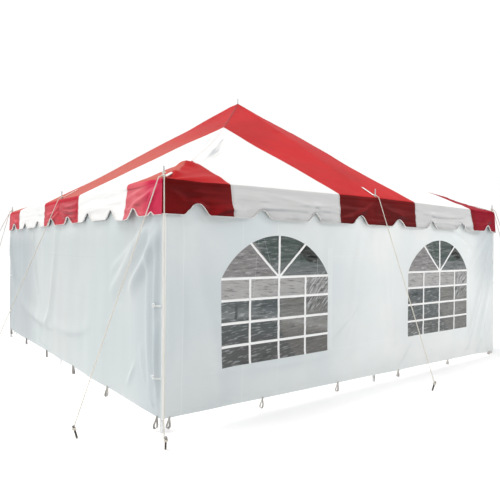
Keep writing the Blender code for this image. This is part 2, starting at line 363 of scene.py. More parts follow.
cut.links.new((hanging * (1.0 - odd_side)).source, outside.inputs["Front strip"])
cut.links.new((hanging * odd_side).source, outside.inputs["Side strip"])
cut.links.new(((1.0 - hanging) * odd_side).source, outside.inputs["Side slope"])
mirror = (abs(side - 1.5) - 1.0) * 2.0
cut.links.new((station * mirror).source, outside.inputs["Run"])
cut.links.new(reach.source, outside.inputs["Reach"])
cut.links.new((reach - abs(station)).source, outside.inputs["Off hip"])

grime = bpy.data.node_groups.new("coated_cloth", "ShaderNodeTree")
for label in ("Weave scale", "Cloud scale"):
    grime.interface.new_socket(label, in_out="INPUT", socket_type="NodeSocketFloat")
for label in ("Weave", "Cloud", "Dirt"):
    grime.interface.new_socket(label, in_out="OUTPUT", socket_type="NodeSocketFloat")
inside = grime.nodes.new("NodeGroupInput")
outside = grime.nodes.new("NodeGroupOutput")
place = object_place(grime)
scaled = grime.nodes.new("ShaderNodeVectorMath")
scaled.operation = "SCALE"
grime.links.new(place.source, scaled.inputs[0])
grime.links.new(inside.outputs["Weave scale"], scaled.inputs["Scale"])
threads = [(part * math.tau).step("SINE") for part in axes(grime, scaled.outputs[0])]
weave = threads[0] * 0.34 + threads[1] * 0.34 + threads[2] * 0.34
cloud = cloudy(grime, place, 1.0, 4.0, 0.55)
grime.links.new(inside.outputs["Cloud scale"], cloud.source.node.inputs["Scale"])
dirt = cloudy(grime, place, 5.0, 6.0, 0.7).within(0.52, 0.78)
grime.links.new(weave.source, outside.inputs["Weave"])
grime.links.new(cloud.source, outside.inputs["Cloud"])
grime.links.new((dirt * cloud).source, outside.inputs["Dirt"])


def striped_vinyl(tree, shader, roughness, lean=None):
    """Red and white coated vinyl with its welds, dust and fine scrim. The hanging strips at the
    front and back get a greyer white and a darker red as painted shade, and the side strips
    and side slopes a pinkish painted sheen. Given a lean, folds facing down get painted shade
    and folds facing up a painted highlight; without one, grey streaks beside the hips are
    painted shade of slack wrinkles."""
    cloth_map = tree.nodes.new("ShaderNodeUVMap")
    cloth_map.uv_map = "cloth_metres"
    stripes = group_node(tree, cut, Cloth_place=Field(tree, cloth_map.outputs[0]))
    cloth = group_node(tree, grime, Weave_scale=260.0, Cloud_scale=1.3)
    red, weld, hip_weld, front_strip, side_strip, side_slope, run, reach, off_hip = (
        Field(tree, stripes.outputs[label]) for label in cut_parts
    )
    cloud = Field(tree, cloth.outputs["Cloud"])
    dirt = Field(tree, cloth.outputs["Dirt"])
    patchy = cloud.within(0.35, 0.65)
    # The hanging strips at the front and back get a greyer white: painted shade.
    white = blend_colours(tree, front_strip, (0.79, 0.79, 0.785), (0.575, 0.58, 0.58))
    white = blend_colours(tree, dirt * 0.4, white, (0.6, 0.59, 0.55))
    bright_red = blend_colours(tree, patchy, (0.43, 0.013, 0.015), (0.51, 0.019, 0.022))
    # On the side slopes the red turns pinkish towards the eaves: painted sheen.
    slope_sheen = side_slope * reach.within(0.6, 2.4)
    bright_red = blend_colours(tree, slope_sheen, bright_red, (0.49, 0.095, 0.072))
    # Their red is a darker copy of the cover's red, painted shade, turning lighter crimson towards the +x end.
    shaded_red = blend_colours(tree, patchy, (0.1, 0.002, 0.002), (0.16, 0.004, 0.005))
    shaded_red = blend_colours(tree, run.within(2.2, 2.5), shaded_red, (0.24, 0.003, 0.016))
    side_red = blend_colours(tree, patchy, (0.4, 0.006, 0.022), (0.52, 0.016, 0.036))
    # Side strips: a pinkish painted sheen towards the front corners, fading to a darker crimson right at the corner.
    side_red = blend_colours(tree, run.within(2.0, 2.5) * 0.6, side_red, (0.68, 0.16, 0.19))
    side_red = blend_colours(tree, run.within(2.6, 2.82), side_red, (0.52, 0.012, 0.06))
    # On the front and back slopes the red darkens towards the +x corners: painted shade.
    far_corner_shade = run.within(2.0, 2.4) * (1.0 - side_slope) * 0.85
    bright_red = blend_colours(tree, far_corner_shade, bright_red, (0.27, 0.005, 0.018))
    dyed = blend_colours(tree, front_strip, bright_red, shaded_red)
    dyed = blend_colours(tree, side_strip, dyed, side_red)
    # The white of the front and back strips greys towards the +x end: painted shade.
    far_end_shade = run.within(0.4, 1.4) * front_strip * 0.5
    white = blend_colours(tree, far_end_shade, white, (0.54, 0.54, 0.54))
    if lean is None:
        # Grey streaks on the white beside the hips: painted shade of slack wrinkles.
        wrinkle_place = vector(tree, off_hip * 8.0, reach * 1.3, run * 0.4)
        slack_wrinkle_shade = cloudy(tree, wrinkle_place, 1.0, 2.0).within(0.53, 0.7)
        slack_wrinkle_shade = slack_wrinkle_shade * off_hip.band(0.16, 0.11, 0.1) * reach.band(1.65, 0.5, 0.35)
        white = blend_colours(tree, slack_wrinkle_shade, white, (0.45, 0.46, 0.48))
    else:
        # A patchy grey band along the foot of the front and back strips: painted shade where the foot curls under.
        curled_foot_shade = reach.within(3.35, 3.45) * cloudy(tree, vector(tree, run * 2.6, 0.0, 0.0), 1.0).within(0.42, 0.6)
        white = blend_colours(tree, curled_foot_shade * front_strip * 0.6, white, (0.38, 0.39, 0.4))
        # Folds facing down get painted shade and folds facing up a painted highlight, the gleam.
        facing_down_shade = (lean * -1.0).clamped()
        upward = (lean - 0.12).clamped()
        white = blend_colours(tree, facing_down_shade * (0.75 - side_strip * 0.55), white, (0.3, 0.31, 0.33))
        white = blend_colours(tree, upward * 0.5, white, (0.8, 0.8, 0.8))
        dyed = blend_colours(tree, facing_down_shade * (0.75 - side_strip * 0.3), dyed, (0.06, 0.001, 0.004))
        gleam = blend_colours(tree, side_strip, (0.3, 0.01, 0.014), (0.72, 0.24, 0.28))
        dyed = blend_colours(tree, upward * 0.42, dyed, gleam)
    tone = blend_colours(tree, red, white, dyed)
    # A dark line along the hips below the white apex: painted shadow of the hip seam.
    hip_seam_shadow = hip_weld * (1.0 - reach.within(0.75, 0.95)) * 0.4
    tone = blend_colours(tree, hip_seam_shadow, tone, (0.16, 0.004, 0.006))
    seams = (weld + hip_weld).clamped()
    tone = blend_colours(tree, seams * 0.12, tone, (0.2, 0.05, 0.05))
    tree.links.new(tone.source, shader.inputs["Base Color"])
    rough = cloud * 0.16 + dirt * 0.2 - seams * 0.08 + roughness
    tree.links.new(rough.source, shader.inputs["Roughness"])
    relief = Field(tree, cloth.outputs["Weave"]) * 0.12 + seams
    bump(tree, shader, relief, 0.0007)


striped_vinyl(tree, shader, 0.4)
cover_sizes = {
    "Half side": HALF,
    "Corner eave height": 2.323,
    "Middle rise": 0.025,
    "Apex height": 4.245,
    "Hip sag": 0.175,
    "Fold reach": 0.035,
    "Skirt depth": 0.014,
    "Pucker": 1.0,
    "Seed": 4.0,
    "Columns a side": 176,
    "Slope rings": 84,
    "Vinyl": cover_vinyl,
}
tree, given, made, size = rule_tree("sagging_hipped_cover", cover_sizes)
fold_rings = 9.0
skirt_rings = 2.0
rings = size["Slope rings"] + fold_rings + skirt_rings
grid = chain(tree, "GeometryNodeMeshGrid", None)
grid.inputs["Size X"].default_value = 4.0
grid.inputs["Size Y"].default_value = 1.0
Field(tree, None).feed(grid.inputs["Vertices X"], size["Columns a side"] * 4.0 + 1.0)
Field(tree, None).feed(grid.inputs["Vertices Y"], rings + 1.0)
start_x, start_y, unused = axes(tree, tree.nodes.new("GeometryNodeInputPosition").outputs[0])
turn = start_x + 2.0
ring = (0.5 - start_y) * rings
slope_share = (ring / size["Slope rings"]).clamped()
fold_share = ((ring - size["Slope rings"]) / fold_rings).clamped()
skirt_share = ((ring - size["Slope rings"] - fold_rings) / skirt_rings).clamped()
fold_left = (1.0 - fold_share) * (1.0 - fold_share)
fold_past = fold_share * fold_share
half = size["Half side"]
inner = half - size["Fold reach"]


def place_on_cover(quarter):
    """Station, reach and height of the ring and turn, on the side of that quarter turn."""
    reach = slope_share * inner + (1.0 - fold_left) * size["Fold reach"]
    station = ((turn - quarter) * 2.0 - 1.0) * reach
    away = abs(station)
    eave = size["Corner eave height"] + size["Middle rise"] * (1.0 - away / half)
    far = away / half
    fall = size["Apex height"] - size["Corner eave height"]
    hip = size["Apex height"] - fall * far - size["Hip sag"] * 4.0 * far * (1.0 - far)
    room = (half - away).step("MAXIMUM", 0.001)
    slope_reach = slope_share * inner
    slope = eave + (hip - eave) * (half - slope_reach) / room
    bend = fold_left * slope + (1.0 - fold_left - fold_past) * eave
    folded = bend + fold_past * (eave - size["Fold reach"])
    return station, reach, folded - skirt_share * size["Skirt depth"]


quarter = turn.step("FLOOR")
station, reach, height = place_on_cover(quarter)
turned = quarter * (math.pi / 2.0)
x = station * turned.step("COSINE") + reach * turned.step("SINE")
y = station * turned.step("SINE") - reach * turned.step("COSINE")

face_side = tree.nodes.new("GeometryNodeFieldOnDomain")
face_side.domain = "FACE"
tree.links.new(turn.source, face_side.inputs[0])
own_side = Field(tree, face_side.outputs[0]).step("FLOOR")
own_station, own_reach, own_height = place_on_cover(own_side)
below = fold_share * size["Fold reach"] * 2.0
cloth = vector(tree, own_side * 10.0 + own_station, own_reach + below, 0.0)
mapped = chain(tree, "GeometryNodeStoreNamedAttribute", grid.outputs["Mesh"])
mapped.data_type = "FLOAT2"
mapped.domain = "CORNER"
mapped.inputs["Name"].default_value = "cloth_metres"
tree.links.new(cloth.source, mapped.inputs["Value"])
laid = chain(tree, "GeometryNodeSetPosition", mapped.outputs[0])
tree.links.new(vector(tree, x, y, height).source, laid.inputs["Position"])
joined = chain(tree, "GeometryNodeMergeByDistance", laid.outputs[0], Distance=0.0005)

x, y, height = axes(tree, tree.nodes.new("GeometryNodeInputPosition").outputs[0])
across = half - abs(x)
deep = half - abs(y)
corner_away = (across * across + deep * deep).step("SQRT")
corner_angle = deep.step("ARCTAN2", across)
corner = x.step("SIGN") * 3.7 + y.step("SIGN") * 7.3 + size["Seed"]
near_corner = corner_away.within(0.03, 0.22) * (1.0 - corner_away.within(0.3, 1.25))
rays = cloudy(tree, vector(tree, corner_angle * 3.4 + corner, corner_away * 0.9, 0.0), 1.0, 1.0)
puckers = (rays - 0.5) * near_corner * 0.075
off_hip = abs(across - deep) * 0.7071
on_hip = (across + deep) * 0.7071
beads = cloudy(tree, vector(tree, on_hip * 7.0 + corner, off_hip * 2.0, 0.0), 1.0, 1.0)
lumpy = 1.0 - corner_away.within(0.5, 1.4) * 0.7
puckers = puckers + (beads - 0.5) * (1.0 - off_hip.within(0.0, 0.16)) * lumpy * 0.04
gathers = on_hip.band(0.84, 0.07, 0.06) * 0.036 + on_hip.band(0.34, 0.05, 0.04) * 0.016
gathers = gathers - on_hip.band(0.17, 0.05, 0.04) * 0.02 - on_hip.band(0.55, 0.07, 0.06) * 0.012
gathers = gathers - on_hip.band(1.04, 0.04, 0.04) * 0.014
loose_corner = abs(x.step("SIGN") + y.step("SIGN")) * 0.35 + 0.3
puckers = puckers + gathers * loose_corner * (1.0 - off_hip.within(0.03, 0.16))
edge = across.step("MINIMUM", deep)
run = abs(x).step("MINIMUM", abs(y))
side_tag = (abs(x) - abs(y)).step("SIGN") * 5.1 + corner
pulls = cloudy(tree, vector(tree, run * 5.5 + side_tag, edge * 1.5, 0.0), 1.0, 1.0)
puckers = puckers + (pulls - 0.5) * (1.0 - edge.within(0.0, 0.5)) * edge.within(-0.02, 0.06) * 0.014
centre_away = (x * x + y * y).step("SQRT")
apex_place = vector(tree, x / (centre_away + 0.01) * 2.6, y / (centre_away + 0.01) * 2.6, centre_away * 0.8)
stretch = cloudy(tree, apex_place, 1.0, 1.0)
near_apex = centre_away.within(0.03, 0.16) * (1.0 - centre_away.within(0.2, 1.1))
puckers = puckers + (stretch - 0.5) * near_apex * 0.05
swell = cloudy(tree, vector(tree, x, y, size["Seed"]), 0.9, 1.0)
puckers = puckers + (swell - 0.5) * edge.within(0.1, 0.9) * centre_away.within(0.2, 1.0) * 0.05
lean = tree.nodes.new("ShaderNodeVectorMath")
lean.operation = "SCALE"
tree.links.new(tree.nodes.new("GeometryNodeInputNormal").outputs[0], lean.inputs[0])
tree.links.new((puckers * size["Pucker"]).source, lean.inputs["Scale"])
puckered = chain(tree, "GeometryNodeSetPosition", joined.outputs[0])
tree.links.new(lean.outputs[0], puckered.inputs["Offset"])
smooth = chain(tree, "GeometryNodeSetShadeSmooth", puckered.outputs[0])
whole = chain(tree, "GeometryNodeRealizeInstances", smooth.outputs[0])
painted = chain(tree, "GeometryNodeSetMaterial", whole.outputs[0], Material=size["Vinyl"])
tree.links.new(painted.outputs[0], made)

cover = grown_piece("roof_cover", tree, cover_sizes)
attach(cover, "root")
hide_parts("roof_front", "roof_right", "roof_back", "roof_left")


# Valances
# A strip of the cover's vinyl hangs from each eave, cut along its foot into flat lobes
# between pointed notches and bound there with a pale folded tape. A thin dark strip below
# the tape is a painted shadow of the edge on the wall. It is loose and creased, most of all
# beside the poles, and droops a little near the corners.

SIDES = ("front", "right", "back", "left")
VALANCE_FOOT = 1.997
NOTCH_PITCH = 0.762
valance_flare = {"front": 0.012, "right": 0.009, "back": 0.012, "left": 0.009}


def ease(value, low, high):
    share = np.clip((value - low) / (high - low), 0.0, 1.0)
    return share * share * (3.0 - 2.0 * share)


def ruffle(first, second, seed):
    """Smooth noise from -1 to 1 over two arrays of places."""
    first, second = np.broadcast_arrays(first, second)
    flat = zip(first.ravel(), second.ravel())
    values = [noise.noise((float(a), float(b), seed)) for a, b in flat]
    return np.array(values).reshape(first.shape)


def turned_out(quarter, station, reach, height):
    """Points of the front side's station, reach and height, turned to another side."""
    x, y = station, -reach
    for _ in range(quarter):
        x, y = -y, x
    return np.stack(np.broadcast_arrays(x, y, height), axis=-1)


def lean_of_folds(reach, station, height):
    """How far folded cloth leans to catch the light, from -1 facing down to 1 facing up."""
    sideways = np.gradient(reach, axis=1) / np.gradient(station, axis=1)
    upward = np.gradient(reach, axis=0) / np.gradient(height, axis=0)
    return np.clip(sideways * 1.3 - upward * 1.7, -1.0, 1.0)


def quilt(name, points, material, keep=None, cloth=None, lean=None):
    """A mesh from a grid of points, without the faces left out, with a cloth map in metres
    and the lean of its folds."""
    rows, columns = points.shape[:2]
    index = np.arange(rows * columns).reshape(rows, columns)
    corners = (index[:-1, :-1], index[:-1, 1:], index[1:, 1:], index[1:, :-1])
    faces = np.stack(corners, axis=-1)
    faces = faces.reshape(-1, 4) if keep is None else faces[keep]
    used = np.unique(faces)
    renumber = np.zeros(rows * columns, int)
    renumber[used] = np.arange(len(used))
    faces = renumber[faces]
    piece = mesh_object(name, points.reshape(-1, 3)[used], faces.tolist(), material)
    if cloth is not None:
        layer = piece.data.uv_layers.new(name="cloth_metres")
        layer.data.foreach_set("uv", cloth.reshape(-1, 2)[used][faces.ravel()].ravel())
    if lean is not None:
        layer = piece.data.attributes.new("fold_lean", "FLOAT", "POINT")
        layer.data.foreach_set("value", lean.ravel()[used].astype(np.float32))
    return piece


# The fold lean, which materials read to paint shade on folds facing down and a highlight on folds facing up.
def lean_field(tree):
    node = tree.nodes.new("ShaderNodeAttribute")
    node.attribute_name = "fold_lean"
    return Field(tree, node.outputs["Fac"])


def eave_height(station):
    return 2.323 + 0.025 * (1.0 - np.abs(station) / HALF)


def notch_rise(quarter, station):
    """How far the valance's foot rises at a station, each notch a little different."""
    rise = np.zeros_like(station)
    for number in range(8):
        middle = (number - 3.5) * NOTCH_PITCH
        if quarter in (0, 2):
            middle += 0.045 + 0.018 * middle - 0.003 * middle**2
        else:
            middle += 0.05 * (1.0 - (middle / 2.667) ** 2) - 0.02 * middle
        wide = 0.145 * (1.0 + 0.1 * math.sin(number * 2.3))
        tall = 0.1 * (1.0 + 0.08 * math.sin(number * 4.1 + 1.0))
        blunt = 1.08 + 0.22 * math.sin(number * 1.9 + 1.3)
        if quarter in (1, 3):
            near = (number - 3.5) * (1.0 if quarter == 3 else -1.0)
            middle -= 0.08 * (1.0 if quarter == 3 else -1.0) if near > 3.0 else 0.0
            wide = 0.13 if near > 3.0 else 0.19
            blunt = 0.92
        share = np.clip(np.abs(station - middle) / wide, 0.0, 1.0)
        rise = np.maximum(rise, tall * (0.5 + 0.5 * np.cos(np.pi * share**blunt)))
    if quarter in (1, 3):
        run = station if quarter == 3 else -station
        share = np.clip(np.abs(run - 2.86) / 0.05, 0.0, 1.0)
        rise = np.maximum(rise, 0.035 * (1.0 - share))
        rise = rise - 0.034 * np.exp(-(((run - 2.28) / 0.26) ** 2)) - 0.008 * ease(run, 2.2, 2.8)
    return rise


def fold_swell(station, height, folds):
    """Outward swell of a wall where it is folded: steep on a fold's lower side."""
    swell = np.zeros(np.shape(station))
    share = np.linspace(0.0, 1.0, 61)[:, None]
    for start, bend, end, breadth, rise in folds:
        start, bend, end = (np.array(place) for place in (start, bend, end))
        line = (1.0 - share) ** 2 * start + 2.0 * share * (1.0 - share) * bend + share**2 * end
        tangent = np.gradient(line, axis=0)
        tangent /= np.linalg.norm(tangent, axis=1)[:, None]
        away_x = station[..., None] - line[:, 0]
        away_z = height[..., None] - line[:, 1]
        nearest = np.argmin(away_x**2 + away_z**2, axis=-1)[..., None]
        away_x = np.take_along_axis(away_x, nearest, -1)[..., 0]
        away_z = np.take_along_axis(away_z, nearest, -1)[..., 0]
        near_tangent = tangent[nearest[..., 0]]
        across = away_x * near_tangent[..., 1] - away_z * near_tangent[..., 0]
        past = away_x * near_tangent[..., 0] + away_z * near_tangent[..., 1]
        along = nearest[..., 0] / 60.0
        past = np.where(along <= 0.0, np.minimum(past, 0.0), np.where(along >= 1.0, np.maximum(past, 0.0), 0.0))
        taper = np.sqrt(np.clip(np.sin(np.pi * (0.06 + 0.88 * along)), 0.0, 1.0))
        wide = np.where(across > 0.0, breadth * 0.75, breadth * 1.5)
        swell += rise * taper * np.exp(-((across / wide) ** 2) - (past / breadth) ** 2)
    return swell


# Each fold: a start, a bend and an end as station and height, its breadth and its swell.
front_strip_folds = (
    ((-3.0, 2.27), (-2.86, 2.2), (-2.56, 2.1), 0.03, -0.016),
    ((-2.98, 2.22), (-2.8, 2.12), (-2.74, 2.0), 0.035, 0.014),
    ((-2.5, 2.01), (-2.4, 2.07), (-2.28, 2.06), 0.03, 0.022),
    ((-2.2, 2.2), (-1.5, 2.16), (-0.8, 2.2), 0.03, 0.012),
    ((-2.1, 2.09), (-1.6, 2.14), (-1.0, 2.1), 0.025, 0.014),
    ((-1.9, 2.27), (-1.4, 2.21), (-0.9, 2.13), 0.022, 0.01),
    ((-0.1, 2.26), (-0.3, 2.12), (-0.62, 2.07), 0.03, 0.014),
    ((0.1, 2.26), (0.3, 2.14), (0.75, 2.1), 0.03, 0.014),
    ((0.95, 2.22), (1.5, 2.13), (2.1, 2.2), 0.025, 0.014),
    ((1.1, 2.08), (1.6, 2.1), (2.2, 2.05), 0.022, 0.012),
    ((3.0, 2.26), (2.8, 2.12), (2.5, 2.06), 0.035, 0.018),
)
side_strip_folds = (
    ((3.0, 2.27), (2.82, 2.18), (2.78, 2.0), 0.03, 0.022),
    ((2.98, 2.24), (2.7, 2.2), (2.4, 2.06), 0.03, 0.016),
    ((2.75, 2.28), (2.55, 2.24), (2.3, 2.18), 0.025, 0.012),
    ((0.08, 2.28), (0.3, 2.2), (0.7, 2.22), 0.028, 0.022),
    ((0.06, 2.22), (0.3, 2.14), (0.72, 2.14), 0.026, 0.022),
    ((-0.06, 2.24), (-0.3, 2.14), (-0.62, 2.16), 0.028, 0.02),
    ((-0.05, 2.16), (-0.25, 2.08), (-0.6, 2.06), 0.026, 0.018),
    ((0.1, 2.14), (0.4, 2.06), (0.7, 2.07), 0.022, 0.016),
    ((2.1, 2.18), (1.5, 2.12), (0.95, 2.17), 0.03, 0.01),
    ((-2.9, 2.24), (-2.7, 2.14), (-2.45, 2.1), 0.03, 0.018),
)


def valance_points(quarter, station, drop):
    """Places on a valance at a share of its drop, 0 at the eave and 1 at the foot."""
    flare = [valance_flare[SIDES[(quarter + step) % 4]] for step in (-1, 0, 1)]
    top = eave_height(station) - 0.041
    height = top + (VALANCE_FOOT + notch_rise(quarter, station) - top) * drop
    hang = drop**1.3
    ends = ease(HALF - np.abs(station), 0.0, 0.25)
    lobe = 0.5 - 0.5 * np.cos(2.0 * np.pi * (station / NOTCH_PITCH + 0.5))
    folds = front_strip_folds if quarter % 2 == 0 else side_strip_folds
    creases = fold_swell(station if quarter in (0, 3) else -station, height, folds)
    creases += ruffle(station * 1.7 + quarter * 9.0, height * 15.0, 2.0) * 0.01
    creases += ruffle(station * 3.1 + height * 9.0, height * 34.0 - station * 2.0, 6.0) * 0.0035
    creases += ruffle(station * 5.5, height * 6.0 + station * 4.0, 5.0 + quarter) * 0.002
    curl = ruffle(station * 3.1, 0.0, 11.0 + quarter) * (0.014 if quarter % 2 == 0 else 0.008)
    curl = curl + (0.006 * lobe if quarter % 2 == 0 else 0.0)
    run = station if quarter in (0, 3) else -station
    corner_belly = 0.045 * np.exp(-(((np.abs(run) - 2.4) / 0.3) ** 2))
    if quarter % 2:
        corner_belly = np.where(run > 0.0, corner_belly, 0.0)
    reach = HALF - 0.0012 + (flare[1] + corner_belly) * hang
    loose = drop**0.5 * (1.0 if quarter % 2 == 0 else 1.0 - 0.65 * drop**3)
    reach = reach + ends * loose * (creases * 1.5 + 0.004) + ends * hang * curl
    slip = ease(station, HALF - 0.3, HALF) * flare[2] - ease(-station, HALF - 0.3, HALF) * flare[0]
    return turned_out(quarter, station + slip * hang, reach, height)


front_strip_vinyl, tree, shader = new_material("front_strip_vinyl", {"Specular IOR Level": 0.08})
striped_vinyl(tree, shader, 0.4, lean_field(tree))
side_strip_vinyl, tree, shader = new_material("side_strip_vinyl", {"Specular IOR Level": 0.12})
striped_vinyl(tree, shader, 0.32, lean_field(tree))

tape_vinyl, tree, shader = new_material("binding_tape", {"Roughness": 0.55})
cloth = group_node(tree, grime, Weave_scale=420.0, Cloud_scale=4.0)
tone = blend_colours(tree, Field(tree, cloth.outputs["Dirt"]), (0.8, 0.78, 0.76), (0.5, 0.46, 0.42))
tree.links.new(tone.source, shader.inputs["Base Color"])
bump(tree, shader, Field(tree, cloth.outputs["Weave"]), 0.0003)

# A thin dark strip along the foot, below the binding tape: painted shadow of the valance's edge on the wall.
edge_shadow_strip, tree, shader = new_material("painted_edge_shadow", {"Roughness": 0.8})
shade = cloudy(tree, object_place(tree), 90.0)
tone = blend_colours(tree, shade, (0.08, 0.065, 0.07), (0.17, 0.14, 0.14))
tree.links.new(tone.source, shader.inputs["Base Color"])

thread, tree, shader = new_material("sewing_thread", {"Roughness": 0.8})
shade = cloudy(tree, object_place(tree), 60.0)
tone = blend_colours(tree, shade, (0.1, 0.07, 0.07), (0.2, 0.15, 0.14))
tree.links.new(tone.source, shader.inputs["Base Color"])

binding_sizes = {
    "Tape width": 0.015,
    "Tape thickness": 0.0034,
    "Shadow strip width": 0.0035,
    "Stitch gap": 0.011,
    "Stitch length": 0.006,
    "Tape": tape_vinyl,
    "Shadow strip": edge_shadow_strip,
    "Thread": thread,
}
tree, given, made, size = rule_tree("bound_and_stitched_edge", binding_sizes)
route = chain(tree, "GeometryNodeMeshToCurve", given, label="Mesh")
upright = chain(tree, "GeometryNodeSetCurveNormal", route.outputs[0], label="Curve")
upright.mode = "Z_UP"
fold = chain(tree, "GeometryNodeCurvePrimitiveQuadrilateral", None)
Field(tree, None).feed(fold.inputs["Width"], size["Tape width"])
Field(tree, None).feed(fold.inputs["Height"], size["Tape thickness"])
raised = chain(tree, "GeometryNodeSetPosition", fold.outputs[0])
half_tape = vector(tree, size["Tape width"] * 0.5 - 0.0012, 0.0, 0.0)
tree.links.new(half_tape.source, raised.inputs["Offset"])
tape = chain(tree, "GeometryNodeCurveToMesh", upright.outputs[0], label="Curve")
tree.links.new(raised.outputs[0], tape.inputs["Profile Curve"])
tape.inputs["Fill Caps"].default_value = True
# The dark strip of painted edge shadow, just below the tape.
shadow_profile = chain(tree, "GeometryNodeCurvePrimitiveQuadrilateral", None)
Field(tree, None).feed(shadow_profile.inputs["Width"], size["Shadow strip width"])
shadow_profile.inputs["Height"].default_value = 0.0024
lowered = chain(tree, "GeometryNodeSetPosition", shadow_profile.outputs[0])
shadow_drop = vector(tree, size["Shadow strip width"] * -0.4 - 0.0012, 0.0, 0.0)
tree.links.new(shadow_drop.source, lowered.inputs["Offset"])
shadow_strip_mesh = chain(tree, "GeometryNodeCurveToMesh", upright.outputs[0], label="Curve")
tree.links.new(lowered.outputs[0], shadow_strip_mesh.inputs["Profile Curve"])
shadow_strip_mesh.inputs["Fill Caps"].default_value = True
spots = chain(tree, "GeometryNodeCurveToPoints", upright.outputs[0], label="Curve")
spots.mode = "LENGTH"
Field(tree, None).feed(spots.inputs["Length"], size["Stitch gap"])
stitch = chain(tree, "GeometryNodeMeshCube", None)
stitch_size = vector(tree, 0.0012, size["Tape thickness"] + 0.0012, size["Stitch length"])
tree.links.new(stitch_size.source, stitch.inputs["Size"])
held = chain(tree, "GeometryNodeSetPosition", stitch.outputs["Mesh"])
tree.links.new(vector(tree, size["Tape width"] - 0.004, 0.0, 0.0).source, held.inputs["Offset"])
sewn = chain(tree, "GeometryNodeStoreNamedAttribute", held.outputs[0], Name="is_thread")
sewn.data_type = "BOOLEAN"
sewn.domain = "FACE"
sewn.inputs["Value"].default_value = True
row = chain(tree, "GeometryNodeInstanceOnPoints", spots.outputs["Points"], label="Points")
tree.links.new(sewn.outputs[0], row.inputs["Instance"])
tree.links.new(spots.outputs["Rotation"], row.inputs["Rotation"])
taped_edge = chain(tree, "GeometryNodeSetMaterial", tape.outputs[0], Material=size["Tape"])
shadow_strip_set = chain(tree, "GeometryNodeSetMaterial", shadow_strip_mesh.outputs[0], Material=size["Shadow strip"])
both = chain(tree, "GeometryNodeJoinGeometry", taped_edge.outputs[0])
tree.links.new(row.outputs[0], both.inputs[0])
tree.links.new(shadow_strip_set.outputs[0], both.inputs[0])
taped = chain(tree, "GeometryNodeRealizeInstances", both.outputs[0])
is_thread = chain(tree, "GeometryNodeInputNamedAttribute", None, Name="is_thread")
is_thread.data_type = "BOOLEAN"
threaded = chain(tree, "GeometryNodeSetMaterial", taped.outputs[0], Material=size["Thread"])
tree.links.new(is_thread.outputs[0], threaded.inputs["Selection"])
tree.links.new(threaded.outputs[0], made)


def line_object(name, points):
    """An open line of edges for a tree to follow."""
    mesh = bpy.data.meshes.new(name)
    edges = [(number, number + 1) for number in range(len(points) - 1)]
    mesh.from_pydata([tuple(point) for point in points], edges, [])
    line = bpy.data.objects.new(name, mesh)
    scene.collection.objects.link(line)
    return line


stations = np.linspace(-HALF, HALF, 521)
drops = np.linspace(1.0, 0.0, 27)[:, None]
for quarter, side_name in enumerate(SIDES):
    points = valance_points(quarter, stations[None, :] + 0.0 * drops, drops + 0.0 * stations)
    cloth = np.empty(points.shape[:2] + (2,))
    cloth[..., 0] = stations + 10.0 * quarter
    cloth[..., 1] = HALF + 0.1 + 0.3 * drops
    strip_vinyl = front_strip_vinyl if quarter % 2 == 0 else side_strip_vinyl
    outward = turned_out(quarter, 0.0, 1.0, 0.0)
    reach = points @ outward
    lean = lean_of_folds(reach, stations + 0.0 * drops, points[..., 2])
    valance = quilt(f"valance_strip_{side_name}", points, strip_vinyl, cloth=cloth, lean=lean)
    line = line_object(f"foot_{side_name}", points[0])
    binding = grown_piece(f"valance_binding_{side_name}", tree, binding_sizes, line)
    for piece in (valance, binding):
        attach(piece, "root")
    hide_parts(f"valance_{side_name}")


# Walls
# Four walls of cool white vinyl hang behind the valances, welded from panels and laced
# to their neighbours at the corners. They are loose cloth: folds run down from the top
# corners, the left wall droops in a wide swag, and the hem clears the ground.

WALL = 3.0417
WINDOW_HALF = 0.755
SILL = 0.505
SPRING = 1.383
ARCH = 0.863
windows = (-1.635, 1.443)

# Each fold: a start, a bend and an end as station and height, its breadth and its swell.
front_folds = (
    ((2.95, 2.0), (2.6, 1.72), (2.28, 1.4), 0.045, 0.03),
    ((2.98, 1.82), (2.66, 1.3), (2.2, 0.22), 0.05, 0.04),
    ((3.02, 1.5), (2.78, 0.95), (2.5, 0.14), 0.045, 0.038),
    ((2.93, 0.95), (2.89, 0.5), (2.8, 0.06), 0.035, 0.02),
    ((2.9, 1.93), (2.74, 1.62), (2.46, 1.3), 0.032, 0.02),
    ((2.99, 1.36), (2.87, 0.92), (2.64, 0.28), 0.032, 0.02),
    ((1.7, 1.98), (2.1, 1.82), (2.42, 1.62), 0.05, 0.016),
    ((-0.3, 1.95), (-0.4, 1.3), (-0.52, 0.5), 0.09, 0.024),
    ((0.1, 1.95), (0.16, 1.2), (0.34, 0.5), 0.08, 0.016),
    ((-2.82, 1.95), (-2.68, 1.35), (-2.38, 0.3), 0.1, 0.032),
    ((-2.86, 1.8), (-2.83, 1.2), (-2.85, 0.6), 0.04, 0.016),
    ((-0.78, 0.68), (-0.6, 0.8), (-0.42, 0.98), 0.06, 0.016),
    ((0.5, 0.2), (0.62, 0.32), (0.72, 0.42), 0.05, 0.012),
    ((-2.9, 0.52), (-1.6, 0.4), (-0.9, 0.46), 0.06, 0.012),
)
